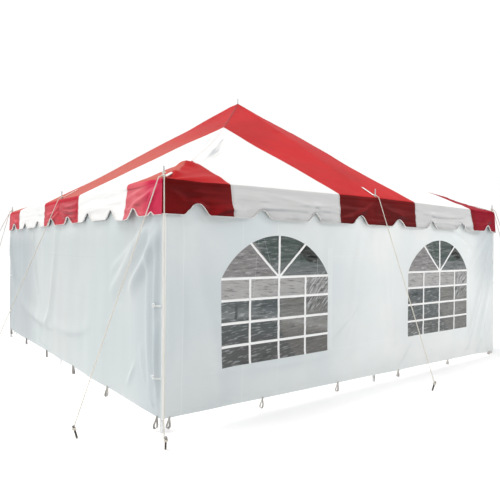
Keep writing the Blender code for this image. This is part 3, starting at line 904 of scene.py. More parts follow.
left_folds = (
    ((2.82, 1.98), (2.58, 1.72), (1.9, 1.24), 0.075, 0.034),
    ((2.95, 1.84), (2.7, 1.55), (2.38, 1.28), 0.06, 0.034),
    ((2.9, 1.72), (2.7, 1.5), (2.4, 1.33), 0.045, 0.018),
    ((2.86, 1.95), (2.7, 1.0), (2.88, 0.25), 0.06, 0.032),
    ((2.96, 1.8), (2.88, 1.1), (2.99, 0.36), 0.035, 0.028),
    ((2.6, 1.84), (2.3, 1.62), (1.88, 1.46), 0.05, 0.018),
    ((2.97, 1.0), (2.93, 0.7), (2.98, 0.2), 0.03, 0.018),
    ((2.62, 0.7), (2.68, 0.45), (2.87, 0.24), 0.04, 0.022),
    ((2.48, 0.53), (2.4, 0.42), (2.3, 0.3), 0.03, 0.014),
    ((-3.0, 1.85), (-2.9, 0.5), (-0.6, 0.58), 0.07, 0.04),
    ((-1.45, 1.95), (-1.35, 1.42), (-1.1, 1.0), 0.05, 0.024),
    ((-0.2, 1.95), (-0.2, 1.1), (-0.6, 0.58), 0.08, 0.03),
    ((-0.2, 0.58), (0.5, 0.5), (1.18, 0.72), 0.06, 0.015),
    ((-1.3, 0.4), (-1.0, 0.3), (-0.7, 0.22), 0.05, 0.016),
    ((-1.15, 0.57), (-0.8, 0.5), (-0.3, 0.52), 0.04, 0.018),
)


def wall_swell(quarter, station, height):
    """Outward swell of a wall. The back repeats the front, and the right the left."""
    mirrored = station if quarter in (0, 3) else -station
    folds = front_folds if quarter in (0, 2) else left_folds
    swell = fold_swell(mirrored, height, folds)
    swell = swell + ruffle(mirrored * 1.15, height * 0.45, 3.0 + quarter % 2) * 0.02
    swell = swell + ruffle(mirrored * 4.6, height * 1.3, 8.0 + quarter % 2) * 0.0045
    hidden = ease(height, 1.86, 2.02)
    swell = swell * (1.0 - hidden) - 0.004 * hidden
    return swell * ease(WALL - np.abs(station), 0.0, 0.07)


def arch_height(station):
    """Height of the head of the window over a station, or of its springing beside it."""
    head = np.full(np.shape(station), SPRING)
    for centre in windows:
        away = np.clip(np.abs(station - centre), 0.0, WINDOW_HALF)
        arch_foot = SPRING - math.sqrt(ARCH**2 - WINDOW_HALF**2)
        head = np.maximum(head, arch_foot + np.sqrt(ARCH**2 - away**2))
    return head


def wall_points(quarter, station, height, lift=0.0):
    reach = WALL - 0.002 + wall_swell(quarter, station, height) + lift
    return turned_out(quarter, station, reach, height)


def hem_height(quarter, station):
    x, y = ((station, -WALL), (WALL, station), (-station, WALL), (-WALL, -station))[quarter]
    return 0.095 - 0.045 * x / HALF + 0.01 * y / HALF


wall_vinyl, tree, shader = new_material("wall_vinyl", {"Metallic": 0.0})
lean = lean_field(tree)
cloth_map = tree.nodes.new("ShaderNodeUVMap")
cloth_map.uv_map = "cloth_metres"
along, height, unused = axes(tree, cloth_map.outputs[0])
turns = (along * 0.1 + 0.5).step("FLOOR")
station = along - turns * 10.0
cloth = group_node(tree, grime, Weave_scale=240.0, Cloud_scale=0.9)
cloud = Field(tree, cloth.outputs["Cloud"])
dirt = Field(tree, cloth.outputs["Dirt"])
end_wall = (turns * 0.5 - (turns * 0.5).step("FLOOR")) * 2.0
strip_edge = abs(station + 0.845).band(0.033, 0.004, 0.002)
welds = (station.band(-0.845, 0.033, 0.003) * 0.3 + strip_edge * 0.5) * height.band(1.115, 0.585, 0.003)
for place in (-2.83, -2.12, -1.652, 0.33, 2.36):
    welds = welds + station.band(place, 0.005, 0.0015) * 0.45
for place in (1.608, 0.508):
    welds = welds + height.band(place, 0.004, 0.0015) * station.band(-0.24, 0.57, 0.003) * 0.45
welds = welds * (1.0 - end_wall * 0.6)
turned_hem = 1.0 - height.within(0.165, 0.168)
damp = (1.0 - height.within(0.1, 0.5)) * (dirt * 0.8 + 0.2)
# The facing walls are lighter towards the +x end, near the top, along the middle of the foot and between the
# windows: painted light.
run = (station + HALF) / (2.0 * HALF)
wall_painted_light = run.within(0.0, 1.0) * 0.75 + height.within(1.2, 2.0) * 0.25
wall_painted_light = wall_painted_light + (1.0 - height.within(0.1, 0.7)) * station.band(0.0, 2.3, 0.5) * 0.5
wall_painted_light = (wall_painted_light + station.band(-0.1, 0.5, 0.35) * 0.45).clamped()
facing_wall = blend_colours(tree, wall_painted_light, (0.61, 0.65, 0.662), (0.79, 0.812, 0.808))
shaded_end = (station / HALF + (cloud - 0.5) * 0.3).within(0.72, 1.0)
# The end walls get a darker tone than the facing walls and darker still near the front corners: painted shade.
side_wall = blend_colours(tree, shaded_end, (0.52, 0.555, 0.558), (0.46, 0.505, 0.53))
# The end walls darken towards their back ends: painted shade.
far_end_shade = (station / -HALF + (cloud - 0.5) * 0.12).within(0.3, 0.6)
side_wall = blend_colours(tree, far_end_shade, side_wall, (0.4, 0.437, 0.455))
# The end walls are lighter just under the valance: painted light.
side_wall = blend_colours(tree, height.within(1.7, 1.98) * 0.35, side_wall, (0.66, 0.69, 0.69))
# Thin dark lines along packing creases on the end walls: painted shade of the creases.
packing_crease_shade = height.band(1.575, 0.002, 0.0025) * station.band(0.4, 1.02, 0.08)
packing_crease_shade = packing_crease_shade + height.band(1.09, 0.002, 0.0025) * station.band(0.9, 0.54, 0.08)
packing_crease_shade = packing_crease_shade + station.band(0.095, 0.002, 0.0025) * height.band(1.4, 0.28, 0.05)
side_wall = blend_colours(tree, packing_crease_shade.clamped() * 0.4, side_wall, (0.4, 0.43, 0.44))
# A darker area high on the facing walls near the +x end: painted shade of the folds there.
corner_fold_shade = station.within(2.2, 2.8) * height.within(0.8, 1.7) * 0.85
facing_wall = blend_colours(tree, corner_fold_shade, facing_wall, (0.5, 0.54, 0.56))
white = blend_colours(tree, end_wall, facing_wall, side_wall)
# Folds facing down get painted shade and folds facing up a painted highlight.
white = blend_colours(tree, (lean * -1.0).clamped() * 0.42, white, (0.34, 0.38, 0.41))
white = blend_colours(tree, lean.clamped() * 0.22, white, (0.82, 0.84, 0.84))
cloudy_white = blend_colours(tree, cloud.within(0.35, 0.65), (0.93, 0.96, 0.97), (1.0, 1.0, 1.0))
mixed = tree.nodes.new("ShaderNodeMix")
mixed.data_type = "RGBA"
mixed.blend_type = "MULTIPLY"
mixed.inputs["Factor"].default_value = 1.0
tree.links.new(white.source, mixed.inputs["A"])
tree.links.new(cloudy_white.source, mixed.inputs["B"])
white = Field(tree, mixed.outputs["Result"])
white = blend_colours(tree, (dirt * 0.16 + damp * 0.3).clamped(), white, (0.62, 0.64, 0.6))
white = blend_colours(tree, (welds * 0.3).clamped(), white, (0.93, 0.93, 0.91))
tree.links.new(white.source, shader.inputs["Base Color"])
rough = cloud * 0.2 + dirt * 0.15 - welds.clamped() * 0.08 + 0.36
tree.links.new(rough.source, shader.inputs["Roughness"])
relief = Field(tree, cloth.outputs["Weave"]) * 0.1 + welds + turned_hem
bump(tree, shader, relief, 0.0008)

plain_stations = np.linspace(-WALL, WALL, 257)
stretches = [(-WALL, windows[0] - WINDOW_HALF, 30)]
stretches.append((windows[0] - WINDOW_HALF, windows[0] + WINDOW_HALF, 66))
stretches.append((windows[0] + WINDOW_HALF, windows[1] - WINDOW_HALF, 64))
stretches.append((windows[1] - WINDOW_HALF, windows[1] + WINDOW_HALF, 66))
stretches.append((windows[1] + WINDOW_HALF, WALL, 36))
cut_stations = [np.linspace(low, high, count + 1)[:-1] for low, high, count in stretches]
cut_stations = np.concatenate(cut_stations + [[WALL]])
zones = ((0.0, 20), (1.0, 36), (2.0, 32))
levels = np.concatenate([np.linspace(low, low + 1.0, count + 1)[:-1] for low, count in zones] + [[3.0]])
walls = {}
for quarter, side_name in enumerate(SIDES):
    has_windows = quarter in (0, 2)
    stations = cut_stations if has_windows else plain_stations
    if quarter == 2:
        stations = -stations[::-1]
    head = arch_height(stations if quarter == 0 else -stations) if has_windows else SPRING
    head = head + 0.0 * stations
    hem = hem_height(quarter, stations)
    top = eave_height(stations) - 0.05
    share = levels[:, None]
    low = hem + (SILL - hem) * np.clip(share, 0.0, 1.0)
    middle = (head - SILL) * np.clip(share - 1.0, 0.0, 1.0)
    heights = low + middle + (top - head) * np.clip(share - 2.0, 0.0, 1.0)
    spread = stations[None, :] + 0.0 * heights
    points = wall_points(quarter, spread, heights)
    cloth = np.stack([spread * (1.0 if quarter in (0, 3) else -1.0), heights], axis=-1)
    cloth[..., 0] += 10.0 * quarter
    keep = np.ones((len(levels) - 1, len(stations) - 1), bool)
    if has_windows:
        centres = 0.5 * (stations[1:] + stations[:-1]) * (1.0 if quarter == 0 else -1.0)
        open_columns = np.zeros(len(centres), bool)
        for centre in windows:
            open_columns |= np.abs(centres - centre) < WINDOW_HALF
        open_rows = (levels[:-1] >= 1.0) & (levels[:-1] < 2.0 - 1e-9)
        keep[np.ix_(open_rows, open_columns)] = False
    reach = points @ turned_out(quarter, 0.0, 1.0, 0.0)
    lean = lean_of_folds(reach, cloth[..., 0], heights)
    wall = quilt(f"wall_cloth_{side_name}", points, wall_vinyl, keep, cloth, lean)
    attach(wall, "root")
    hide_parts(f"wall_{side_name}")
    walls[side_name] = wall


# Windows
# Each arched window is a sheet of clear vinyl welded behind its opening. White strips
# welded on its face make the bars: a fan of three over the spring line, and below it
# three upright bars and three level ones. The clear sheet is rippled by its own weight.

BAR = 0.027
clear_vinyl, tree, shader = new_material("clear_vinyl", {"IOR": 1.45, "Specular IOR Level": 0.42})
# The sheet's colour is painted light and shade: dark painted shade of the tent's inside seen through it, lighter in
# the top row, the right half and the fan, light streaks of painted reflection along the ripples, dark painted shade
# in their furrows and thin light lines of painted rope reflections.
place = object_place(tree)
smear = cloudy(tree, place, 9.0, 5.0, 0.65)
cloth_map = tree.nodes.new("ShaderNodeUVMap")
cloth_map.uv_map = "cloth_metres"
across, up, unused = axes(tree, cloth_map.outputs[0])
soft = (cloudy(tree, place, 5.0, 3.0) - 0.5) * 0.12
low_slant = (0.8 - up).step("MAXIMUM", 0.0) * 0.75
right_half = (across + soft * 0.4 - low_slant).within(0.0, 0.06)
top_row = up.band(1.274, 0.11, 0.012)
fan = up.within(1.37, 1.4)
left_leaf = fan * (across * -1.0 - (up - SPRING) * 0.88 + soft * 0.3).within(-0.01, 0.03)
ragged = (cloudy(tree, place, 16.0, 4.0, 0.7) - 0.5) * 0.2
# A very dark patch high on the right: painted shade of the inside.
inner_shade_patch = (across + ragged).band(0.44, 0.13, 0.03) * (up + across * 0.35 + ragged).band(1.79, 0.075, 0.025)
low_fan = fan * (1.0 - (up + soft).within(1.46, 1.58))
streaks = cloudy(tree, vector(tree, across * 7.0 + up * 3.0, up * 52.0 - across * 4.0, 0.0), 1.0, 3.0, 0.6)
slanted = cloudy(tree, vector(tree, (across + up) * 5.0, (up - across) * 34.0, 0.0), 1.0, 2.0)
# Light streaks along the ripples: painted reflection.
ripple_reflections = (1.0 - right_half * 0.6) * streaks.within(0.52, 0.66) * (1.0 - top_row * 0.4)
slanted_part = across.within(0.34, 0.46) * up.band(1.2, 0.2, 0.05)
ripple_reflections = ripple_reflections + slanted_part * slanted.within(0.5, 0.62) * 1.5
tone = blend_colours(tree, right_half, (0.046, 0.061, 0.064), (0.145, 0.145, 0.134))
tone = blend_colours(tree, fan, tone, (0.07, 0.095, 0.088))
tone = blend_colours(tree, low_fan * 0.6, tone, (0.18, 0.19, 0.2))
tone = blend_colours(tree, inner_shade_patch, tone, (0.012, 0.016, 0.013))
tone = blend_colours(tree, left_leaf, tone, (0.235, 0.225, 0.225))
tone = blend_colours(tree, top_row, tone, (0.37, 0.365, 0.362))
tone = blend_colours(tree, slanted_part * 0.45, tone, (0.13, 0.13, 0.125))
# Darker towards the bottom of the sheet: painted shade.
tone = blend_colours(tree, (1.0 - up.within(0.66, 0.84)) * 0.5, tone, (0.05, 0.05, 0.048))
# Dark lines in the ripples' furrows: painted shade.
furrow_place = vector(tree, across * 6.0 - up * 2.0, up * 48.0 + across * 3.0, 3.0)
furrow_shade = cloudy(tree, furrow_place, 1.0, 3.0, 0.6).within(0.52, 0.66)
furrow_shade = furrow_shade + slanted_part * (1.0 - slanted.within(0.36, 0.48))
tone = blend_colours(tree, (furrow_shade * 0.55).clamped(), tone, (0.035, 0.042, 0.042))
tone = blend_colours(tree, (ripple_reflections * 0.32).clamped(), tone, (0.62, 0.64, 0.66))
# Thin light lines across the sheet: painted reflections of the ropes.
rope_reflections = None
for top, foot in (((-0.279, 1.8), (-0.345, 1.168)), ((-0.205, 1.8), (-0.043, 1.268)), ((0.583, 1.6), (0.567, 1.04))):
    lean = (foot[0] - top[0]) / (foot[1] - top[1])
    wander = (smear - 0.5) * 0.02
    line = (across - up * lean + wander).band(top[0] - top[1] * lean, 0.0012, 0.0025)
    line = line * up.band((top[1] + foot[1]) / 2.0, (top[1] - foot[1]) / 2.0, 0.01)
    rope_reflections = line if rope_reflections is None else rope_reflections + line
tone = blend_colours(tree, (rope_reflections * 0.6).clamped(), tone, (0.7, 0.72, 0.72))
tree.links.new(tone.source, shader.inputs["Base Color"])
tree.links.new((smear * 0.1 + 0.07).source, shader.inputs["Roughness"])
tree.links.new((top_row * 0.02 + smear * 0.04 + 0.9).source, shader.inputs["Alpha"])

bar_vinyl, tree, shader = new_material("window_bar_vinyl", {"Metallic": 0.0})
cloth = group_node(tree, grime, Weave_scale=300.0, Cloud_scale=5.0)
tone = blend_colours(tree, Field(tree, cloth.outputs["Cloud"]), (0.84, 0.85, 0.85), (0.9, 0.9, 0.9))
tree.links.new(tone.source, shader.inputs["Base Color"])
tree.links.new((Field(tree, cloth.outputs["Dirt"]) * 0.2 + 0.4).source, shader.inputs["Roughness"])
bump(tree, shader, Field(tree, cloth.outputs["Weave"]), 0.0003)


def pane_ripple(station, height):
    """Small ripples of a clear sheet, nearly level, that die out at its welded edge."""
    lean = station * 2.4 + height * 1.2
    ripple = ruffle(lean, height * 17.0 - station * 1.5, 21.0) * 0.0038
    ripple = ripple + ruffle(station * 7.0 + height * 3.0, height * 30.0, 23.0) * 0.002
    edge = np.full(np.shape(station), 1.0)
    for centre in windows:
        inside_x = WINDOW_HALF - np.abs(station - centre)
        inside_z = np.minimum(height - SILL, arch_height(station) - height)
        edge = np.where(inside_x > -0.02, ease(np.minimum(inside_x, inside_z), 0.0, 0.05), edge)
    return ripple * edge


def pane_points(quarter, station, height, lift):
    local = station if quarter == 0 else -station
    return wall_points(quarter, local, height, lift + pane_ripple(station, height))


def strip_rings(route, width):
    """Rows of station, height and lift for a welded strip along a straight route."""
    start, end = (np.array(place) for place in route)
    length = float(np.linalg.norm(end - start))
    across = np.array((start[1] - end[1], end[0] - start[0])) / length * width * 0.5
    section = ((-1.0, -0.0006), (-0.96, 0.0011), (0.0, 0.0012), (0.96, 0.0011), (1.0, -0.0006))
    steps = max(2, int(length / 0.014))
    rows = []
    for number in range(steps + 1):
        middle = start + (end - start) * number / steps
        rows.append([(*(middle + across * share), lift) for share, lift in section])
    return np.array(rows)


for quarter, side_name in ((0, "front"), (2, "back")):
    for centre, hand in zip(windows, ("left", "right")):
        name = f"{side_name}_{hand}"
        lap = 0.014
        stations = np.linspace(centre - WINDOW_HALF - lap, centre + WINDOW_HALF + lap, 131)
        head = arch_height(stations) + lap
        share = np.linspace(0.0, 1.0, 113)[:, None]
        heights = SILL - lap + (head - SILL + lap) * share
        spread = stations[None, :] + 0.0 * heights
        points = pane_points(quarter, spread, heights, -0.0018)
        if quarter == 2:
            points = points[:, ::-1]
        cloth = np.stack([spread - centre, heights], axis=-1)
        pane = quilt(f"clear_sheet_{name}", points, clear_vinyl, cloth=cloth)
        low, high = centre - WINDOW_HALF, centre + WINDOW_HALF
        bars = [((low, SPRING), (high, SPRING))]
        for level in (1.165, 0.934, 0.706):
            bars.append(((low, level), (high, level)))
        uprights = [((centre - 0.39, SILL), (centre - 0.39, SPRING))]
        uprights.append(((centre + 0.39, SILL), (centre + 0.39, SPRING)))
        uprights.append(((centre, SILL), (centre, float(arch_height(np.array(centre))))))
        spokes = []
        for way in (-1.0, 1.0):
            spokes.append(((centre, SPRING), (centre + way * 0.388, 1.746)))
        points = []
        faces = []
        for level, group in enumerate((bars, uprights, spokes)):
            for route in group:
                rings = strip_rings(route, BAR if level < 2 else BAR * 0.95)
                placed = pane_points(quarter, rings[..., 0], rings[..., 1], rings[..., 2] + 0.0006 * level)
                rows, columns = placed.shape[:2]
                first = len(points)
                points.extend(placed.reshape(-1, 3))
                for row in range(rows - 1):
                    for column in range(columns - 1):
                        corner = first + row * columns + column
                        face = (corner, corner + columns, corner + columns + 1, corner + 1)
                        faces.append(face if quarter == 0 else face[::-1])
        bar_piece = mesh_object(f"window_bars_{name}", points, faces, bar_vinyl)
        for piece, slot_name in ((pane, "clear_vinyl"), (bar_piece, "wall_vinyl")):
            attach(piece, "root")
        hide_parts(f"window_{name}")


# Hem loops
# Loops of grey webbing are sewn to each wall's hem, six to a side, and hang to the ground
# as drops. Where the hem is low they bend over and lie on it. One small rule bends the
# webbing into a drop, and the points on the hems carry its facing and its length.

webbing, tree, shader = new_material("hem_webbing", {"Roughness": 0.85})
cloth = group_node(tree, grime, Weave_scale=520.0, Cloud_scale=9.0)
cloud = Field(tree, cloth.outputs["Cloud"])
dirt = Field(tree, cloth.outputs["Dirt"])
tone = blend_colours(tree, cloud.within(0.3, 0.7), (0.38, 0.37, 0.35), (0.56, 0.54, 0.51))
unused, depth, unused = axes(tree, tree.nodes.new("ShaderNodeTexCoord").outputs["Object"])
# Loops towards the back are darker: painted shade.
tone = blend_colours(tree, depth.within(-2.4, -0.4) * 0.6, tone, (0.12, 0.12, 0.115))
tone = blend_colours(tree, dirt, tone, (0.24, 0.22, 0.19))
tree.links.new(tone.source, shader.inputs["Base Color"])
bump(tree, shader, Field(tree, cloth.outputs["Weave"]), 0.0006)

loop_sizes = {
    "Webbing width": 0.028,
    "Webbing thickness": 0.004,
    "Loop length": 0.125,
    "Loop opening": 0.066,
    "Loop lean": 0.022,
    "Ground clearance": 0.003,
    "Webbing": webbing,
}
tree, given, made, size = rule_tree("hem_loop_drops", loop_sizes)
ring = chain(tree, "GeometryNodeCurvePrimitiveCircle", None)
ring.inputs["Resolution"].default_value = 28
ring_x, ring_y, unused = axes(tree, tree.nodes.new("GeometryNodeInputPosition").outputs[0])
down = (1.0 - ring_y) * 0.5
belly = ring_x * (down.step("POWER", 1.4) * 0.5) * size["Loop opening"] - down * size["Loop lean"]
drop = chain(tree, "GeometryNodeSetPosition", ring.outputs[0])
shape = vector(tree, 0.0, belly, down * size["Loop length"] * -1.0 + 0.016)
tree.links.new(shape.source, drop.inputs["Position"])
level = chain(tree, "GeometryNodeSetCurveNormal", drop.outputs[0], label="Curve")
level.mode = "FREE"
level.inputs["Normal"].default_value = (1.0, 0.0, 0.0)
section = chain(tree, "GeometryNodeCurvePrimitiveQuadrilateral", None)
Field(tree, None).feed(section.inputs["Width"], size["Webbing width"])
Field(tree, None).feed(section.inputs["Height"], size["Webbing thickness"])
band = chain(tree, "GeometryNodeCurveToMesh", level.outputs[0], label="Curve")
tree.links.new(section.outputs[0], band.inputs["Profile Curve"])
facing = chain(tree, "GeometryNodeInputNamedAttribute", None, Name="facing")
shortened = chain(tree, "GeometryNodeInputNamedAttribute", None, Name="length")
row = chain(tree, "GeometryNodeInstanceOnPoints", given, label="Points")
tree.links.new(band.outputs[0], row.inputs["Instance"])
aimed = tree.nodes.new("FunctionNodeEulerToRotation")
tree.links.new(vector(tree, 0.0, 0.0, Field(tree, facing.outputs[0])).source, aimed.inputs[0])
tree.links.new(aimed.outputs[0], row.inputs["Rotation"])
short = Field(tree, shortened.outputs[0])
scale = vector(tree, 1.0, short * 0.6 + 0.4, short)
tree.links.new(scale.source, row.inputs["Scale"])
whole = chain(tree, "GeometryNodeRealizeInstances", row.outputs[0])
x, y, height = axes(tree, tree.nodes.new("GeometryNodeInputPosition").outputs[0])
sunk = (size["Ground clearance"] - height).step("MAXIMUM", 0.0)
wall_angle = chain(tree, "GeometryNodeInputNamedAttribute", None, Name="outward")
angle = Field(tree, wall_angle.outputs[0])
lying = chain(tree, "GeometryNodeSetPosition", whole.outputs[0])
outward_x = angle.step("COSINE") * sunk
outward_y = angle.step("SINE") * sunk
tree.links.new(vector(tree, outward_x, outward_y, sunk * 1.04).source, lying.inputs["Offset"])
smooth = chain(tree, "GeometryNodeSetShadeSmooth", lying.outputs[0])
smooth.inputs["Shade Smooth"].default_value = False
painted = chain(tree, "GeometryNodeSetMaterial", smooth.outputs[0], Material=size["Webbing"])
tree.links.new(painted.outputs[0], made)

loop_places = {"front": (-2.952, -1.85, -0.699, 0.471, 1.68, 2.893)}
loop_places["left"] = (2.971, 1.777, 0.593, -0.593, -1.776, -2.94)
loop_places["back"] = tuple(-place for place in loop_places["front"])
loop_places["right"] = tuple(-place for place in loop_places["left"])
for quarter, side_name in enumerate(SIDES):
    stations = np.array(loop_places[side_name])
    hem = hem_height(quarter, stations)
    swell = wall_swell(quarter, stations, hem + 0.02)
    places = turned_out(quarter, stations, WALL + 0.0015 + swell, hem)
    dots = mesh_object(f"loop_places_{side_name}", places, [])
    outward = (quarter - 1) * math.pi / 2.0
    near = ease(stations if quarter == 3 else -stations, 0.9, 1.7)
    twist = -0.1 + 0.0 * stations if quarter % 2 == 0 else (quarter - 2.0) * (0.8 * near - 0.5)
    twist = twist + 0.2 * np.sin(stations * 3.7 + quarter)
    values = {"outward": outward + 0.0 * stations, "facing": outward + twist}
    values["length"] = np.minimum(0.9 + 0.12 * np.sin(stations * 5.1), (hem + 0.004) / 0.109)
    for label, numbers in values.items():
        layer = dots.data.attributes.new(label, "FLOAT", "POINT")
        layer.data.foreach_set("value", numbers.astype(np.float32))
    loops = grown_piece(f"hem_loops_{side_name}", tree, loop_sizes, dots)
    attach(loops, "root")
    wall = walls[side_name]
    flat_area = 13.1 - (3.68 if quarter in (0, 2) else 0.0)


# Corner laps
# At each corner the front or back wall's upright edge is bound with a cream strip that
# laps over its neighbour, and two short straps with white buckles draw the walls
# together, one at knee height and one at chest height.

lap_vinyl, tree, shader = new_material("corner_lap_vinyl", {"Metallic": 0.0})
cloth = group_node(tree, grime, Weave_scale=260.0, Cloud_scale=3.0)
dirt = Field(tree, cloth.outputs["Dirt"])
tone = blend_colours(tree, Field(tree, cloth.outputs["Cloud"]), (0.76, 0.785, 0.775), (0.83, 0.845, 0.83))
tone = blend_colours(tree, dirt * 0.3, tone, (0.56, 0.55, 0.5))
tree.links.new(tone.source, shader.inputs["Base Color"])
tree.links.new((dirt * 0.2 + 0.45).source, shader.inputs["Roughness"])
bump(tree, shader, Field(tree, cloth.outputs["Weave"]), 0.0004)

strap_cloth, tree, shader = new_material("corner_strap_cloth", {"Roughness": 0.6})
cloth = group_node(tree, grime, Weave_scale=380.0, Cloud_scale=6.0)
tone = blend_colours(tree, Field(tree, cloth.outputs["Cloud"]), (0.56, 0.6, 0.6), (0.66, 0.69, 0.69))
tree.links.new(tone.source, shader.inputs["Base Color"])
bump(tree, shader, Field(tree, cloth.outputs["Weave"]), 0.0004)

buckle_plastic, tree, shader = new_material("buckle_plastic", {"Roughness": 0.3})
shade = cloudy(tree, object_place(tree), 40.0, 3.0)
tone = blend_colours(tree, shade, (0.82, 0.83, 0.83), (0.92, 0.92, 0.92))
tree.links.new(tone.source, shader.inputs["Base Color"])
tree.links.new((shade * 0.15 + 0.25).source, shader.inputs["Roughness"])


def buckle_frame(quarter, station, height, reach):
    """Points and faces of a ladder buckle: a rounded frame with one bar across it."""
    points, faces = [], []
    outline = []
    for number in range(24):
        angle = math.tau * number / 24.0
        square = max(abs(math.cos(angle)), abs(math.sin(angle))) ** 0.75
        outline.append((0.019 * math.cos(angle) / square, 0.017 * math.sin(angle) / square))
    for across, upward, sides in ((outline, None, 24), (None, outline, 2)):
        first = len(points)
        route = across if across else [(0.0, -0.016), (0.0, 0.016)]
        for x, z in route:
            length = math.hypot(x, z) or 1.0
            for turn in range(8):
                bend = math.tau * turn / 8.0
                grow = 0.0032 * math.cos(bend)
                if across:
                    spot = (x + x / length * grow, z + z / length * grow)
                else:
                    spot = (x + grow, z)
                out = reach + 0.0032 * math.sin(bend)
                place = turned_out(quarter, station + spot[0], out, height + spot[1])
                points.append(place)
        for row in range(sides if across else 1):
            for turn in range(8):
                here, there = row * 8, (row + 1) % len(route) * 8
                side = (turn + 1) % 8
                faces.append(tuple(first + n for n in (here + turn, there + turn, there + side, here + side)))
        if not across:
            faces.append(tuple(first + turn for turn in range(8)))
            faces.append(tuple(first + 15 - turn for turn in range(8)))
    return points, faces


def add_patch(points, faces, patch):
    """Adds a grid of points and its faces to a growing mesh."""
    rows, columns = patch.shape[:2]
    first = len(points)
    points.extend(patch.reshape(-1, 3))
    for row in range(rows - 1):
        for column in range(columns - 1):
            corner = first + row * columns + column
            faces.append((corner, corner + 1, corner + columns + 1, corner + columns))


LAP_WIDTH = 0.042
for quarter, side_name in ((0, "front"), (2, "back")):
    for end, hand in ((-1.0, "left"), (1.0, "right")):
        points, faces = [], []
        foot = float(hem_height(quarter, np.array(end * WALL)))
        heights = np.linspace(foot - 0.004, 2.24, 150)[:, None]
        across = np.array([0.0, 0.002, 0.5 * LAP_WIDTH, LAP_WIDTH - 0.001, LAP_WIDTH])
        lifts = np.array([0.0, 0.0026, 0.003, 0.0026, 0.0002])
        stations = end * (WALL + 0.0015 - across) + 0.0 * heights
        pucker = ruffle(heights * 6.0, 0.0, 31.0 + quarter + end) * 0.0015
        spread = heights + 0.0 * across
        placed = wall_points(quarter, np.clip(stations, -WALL, WALL), spread, lifts + np.abs(pucker))
        add_patch(points, faces, placed if end < 0.0 else placed[:, ::-1])
        lap = mesh_object(f"corner_lap_{side_name}_{hand}", points, faces, lap_vinyl)
        neighbour = (quarter + int(end)) % 4
        near = -end
        points, faces = [], []
        buckle_points, buckle_faces = [], []
        for height in (0.5, 1.16):
            stations = near * (WALL + 0.004 - np.linspace(0.0, 0.17, 25))
            sag = 0.006 * np.sin(np.linspace(0.0, math.pi, 25))
            cross = np.array([-0.011, -0.0105, 0.0, 0.0105, 0.011])[:, None]
            lifts = np.array([0.001, 0.0034, 0.0036, 0.0034, 0.001])[:, None]
            levels = height + cross - sag
            out = wall_swell(neighbour, stations + 0.0 * levels, levels) + lifts + WALL
            placed = turned_out(neighbour, stations + 0.0 * levels, out, levels)
            add_patch(points, faces, placed if near < 0.0 else placed[:, ::-1])
            station = near * (WALL - 0.1)
            swell = float(wall_swell(neighbour, np.array(station), np.array(height)))
            made_points, made_faces = buckle_frame(neighbour, station, height, WALL + swell + 0.0075)
            first = len(buckle_points)
            buckle_points.extend(made_points)
            buckle_faces.extend(tuple(first + n for n in face) for face in made_faces)
        straps = mesh_object(f"corner_straps_{side_name}_{hand}", points, faces, strap_cloth)
        buckles = mesh_object(f"corner_buckles_{side_name}_{hand}", buckle_points, buckle_faces, buckle_plastic)
        for piece in (lap, straps, buckles):
            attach(piece, "root")


# Pin patches
# Where each side pole's pin comes through the cover there is a pressed ring, and a strap
# of white webbing is sewn from it up the roof to spread the guy rope's pull.

ring_metal, tree, shader = new_material("pressed_ring", {"Metallic": 1.0})
wear = group_node(tree, metal_wear, Grain_scale=30.0, Stain_scale=60.0)
stain = Field(tree, wear.outputs["Stain"]).within(0.4, 0.7)
tone = blend_colours(tree, stain, (0.62, 0.58, 0.46), (0.34, 0.3, 0.22))
tree.links.new(tone.source, shader.inputs["Base Color"])
tree.links.new((stain * 0.3 + 0.25).source, shader.inputs["Roughness"])

strap_webbing, tree, shader = new_material("strap_webbing", {"Roughness": 0.75})
cloth = group_node(tree, grime, Weave_scale=480.0, Cloud_scale=6.0)
tone = blend_colours(tree, Field(tree, cloth.outputs["Dirt"]) * 0.6, (0.9, 0.9, 0.87), (0.6, 0.57, 0.52))
tree.links.new(tone.source, shader.inputs["Base Color"])
bump(tree, shader, Field(tree, cloth.outputs["Weave"]), 0.0006)


def roof_height(x, y):
    """Height of the cover over a plan point, ruled from the sagging hip to the eave."""
    reach = max(abs(x), abs(y))
    station = min(abs(x), abs(y), HALF - 0.001)
    far = station / HALF
    hip = 4.245 - 1.922 * far - 0.7 * far * (1.0 - far)
    eave = 2.323 + 0.025 * (1.0 - far)
    return eave + (hip - eave) * (HALF - reach) / (HALF - station)


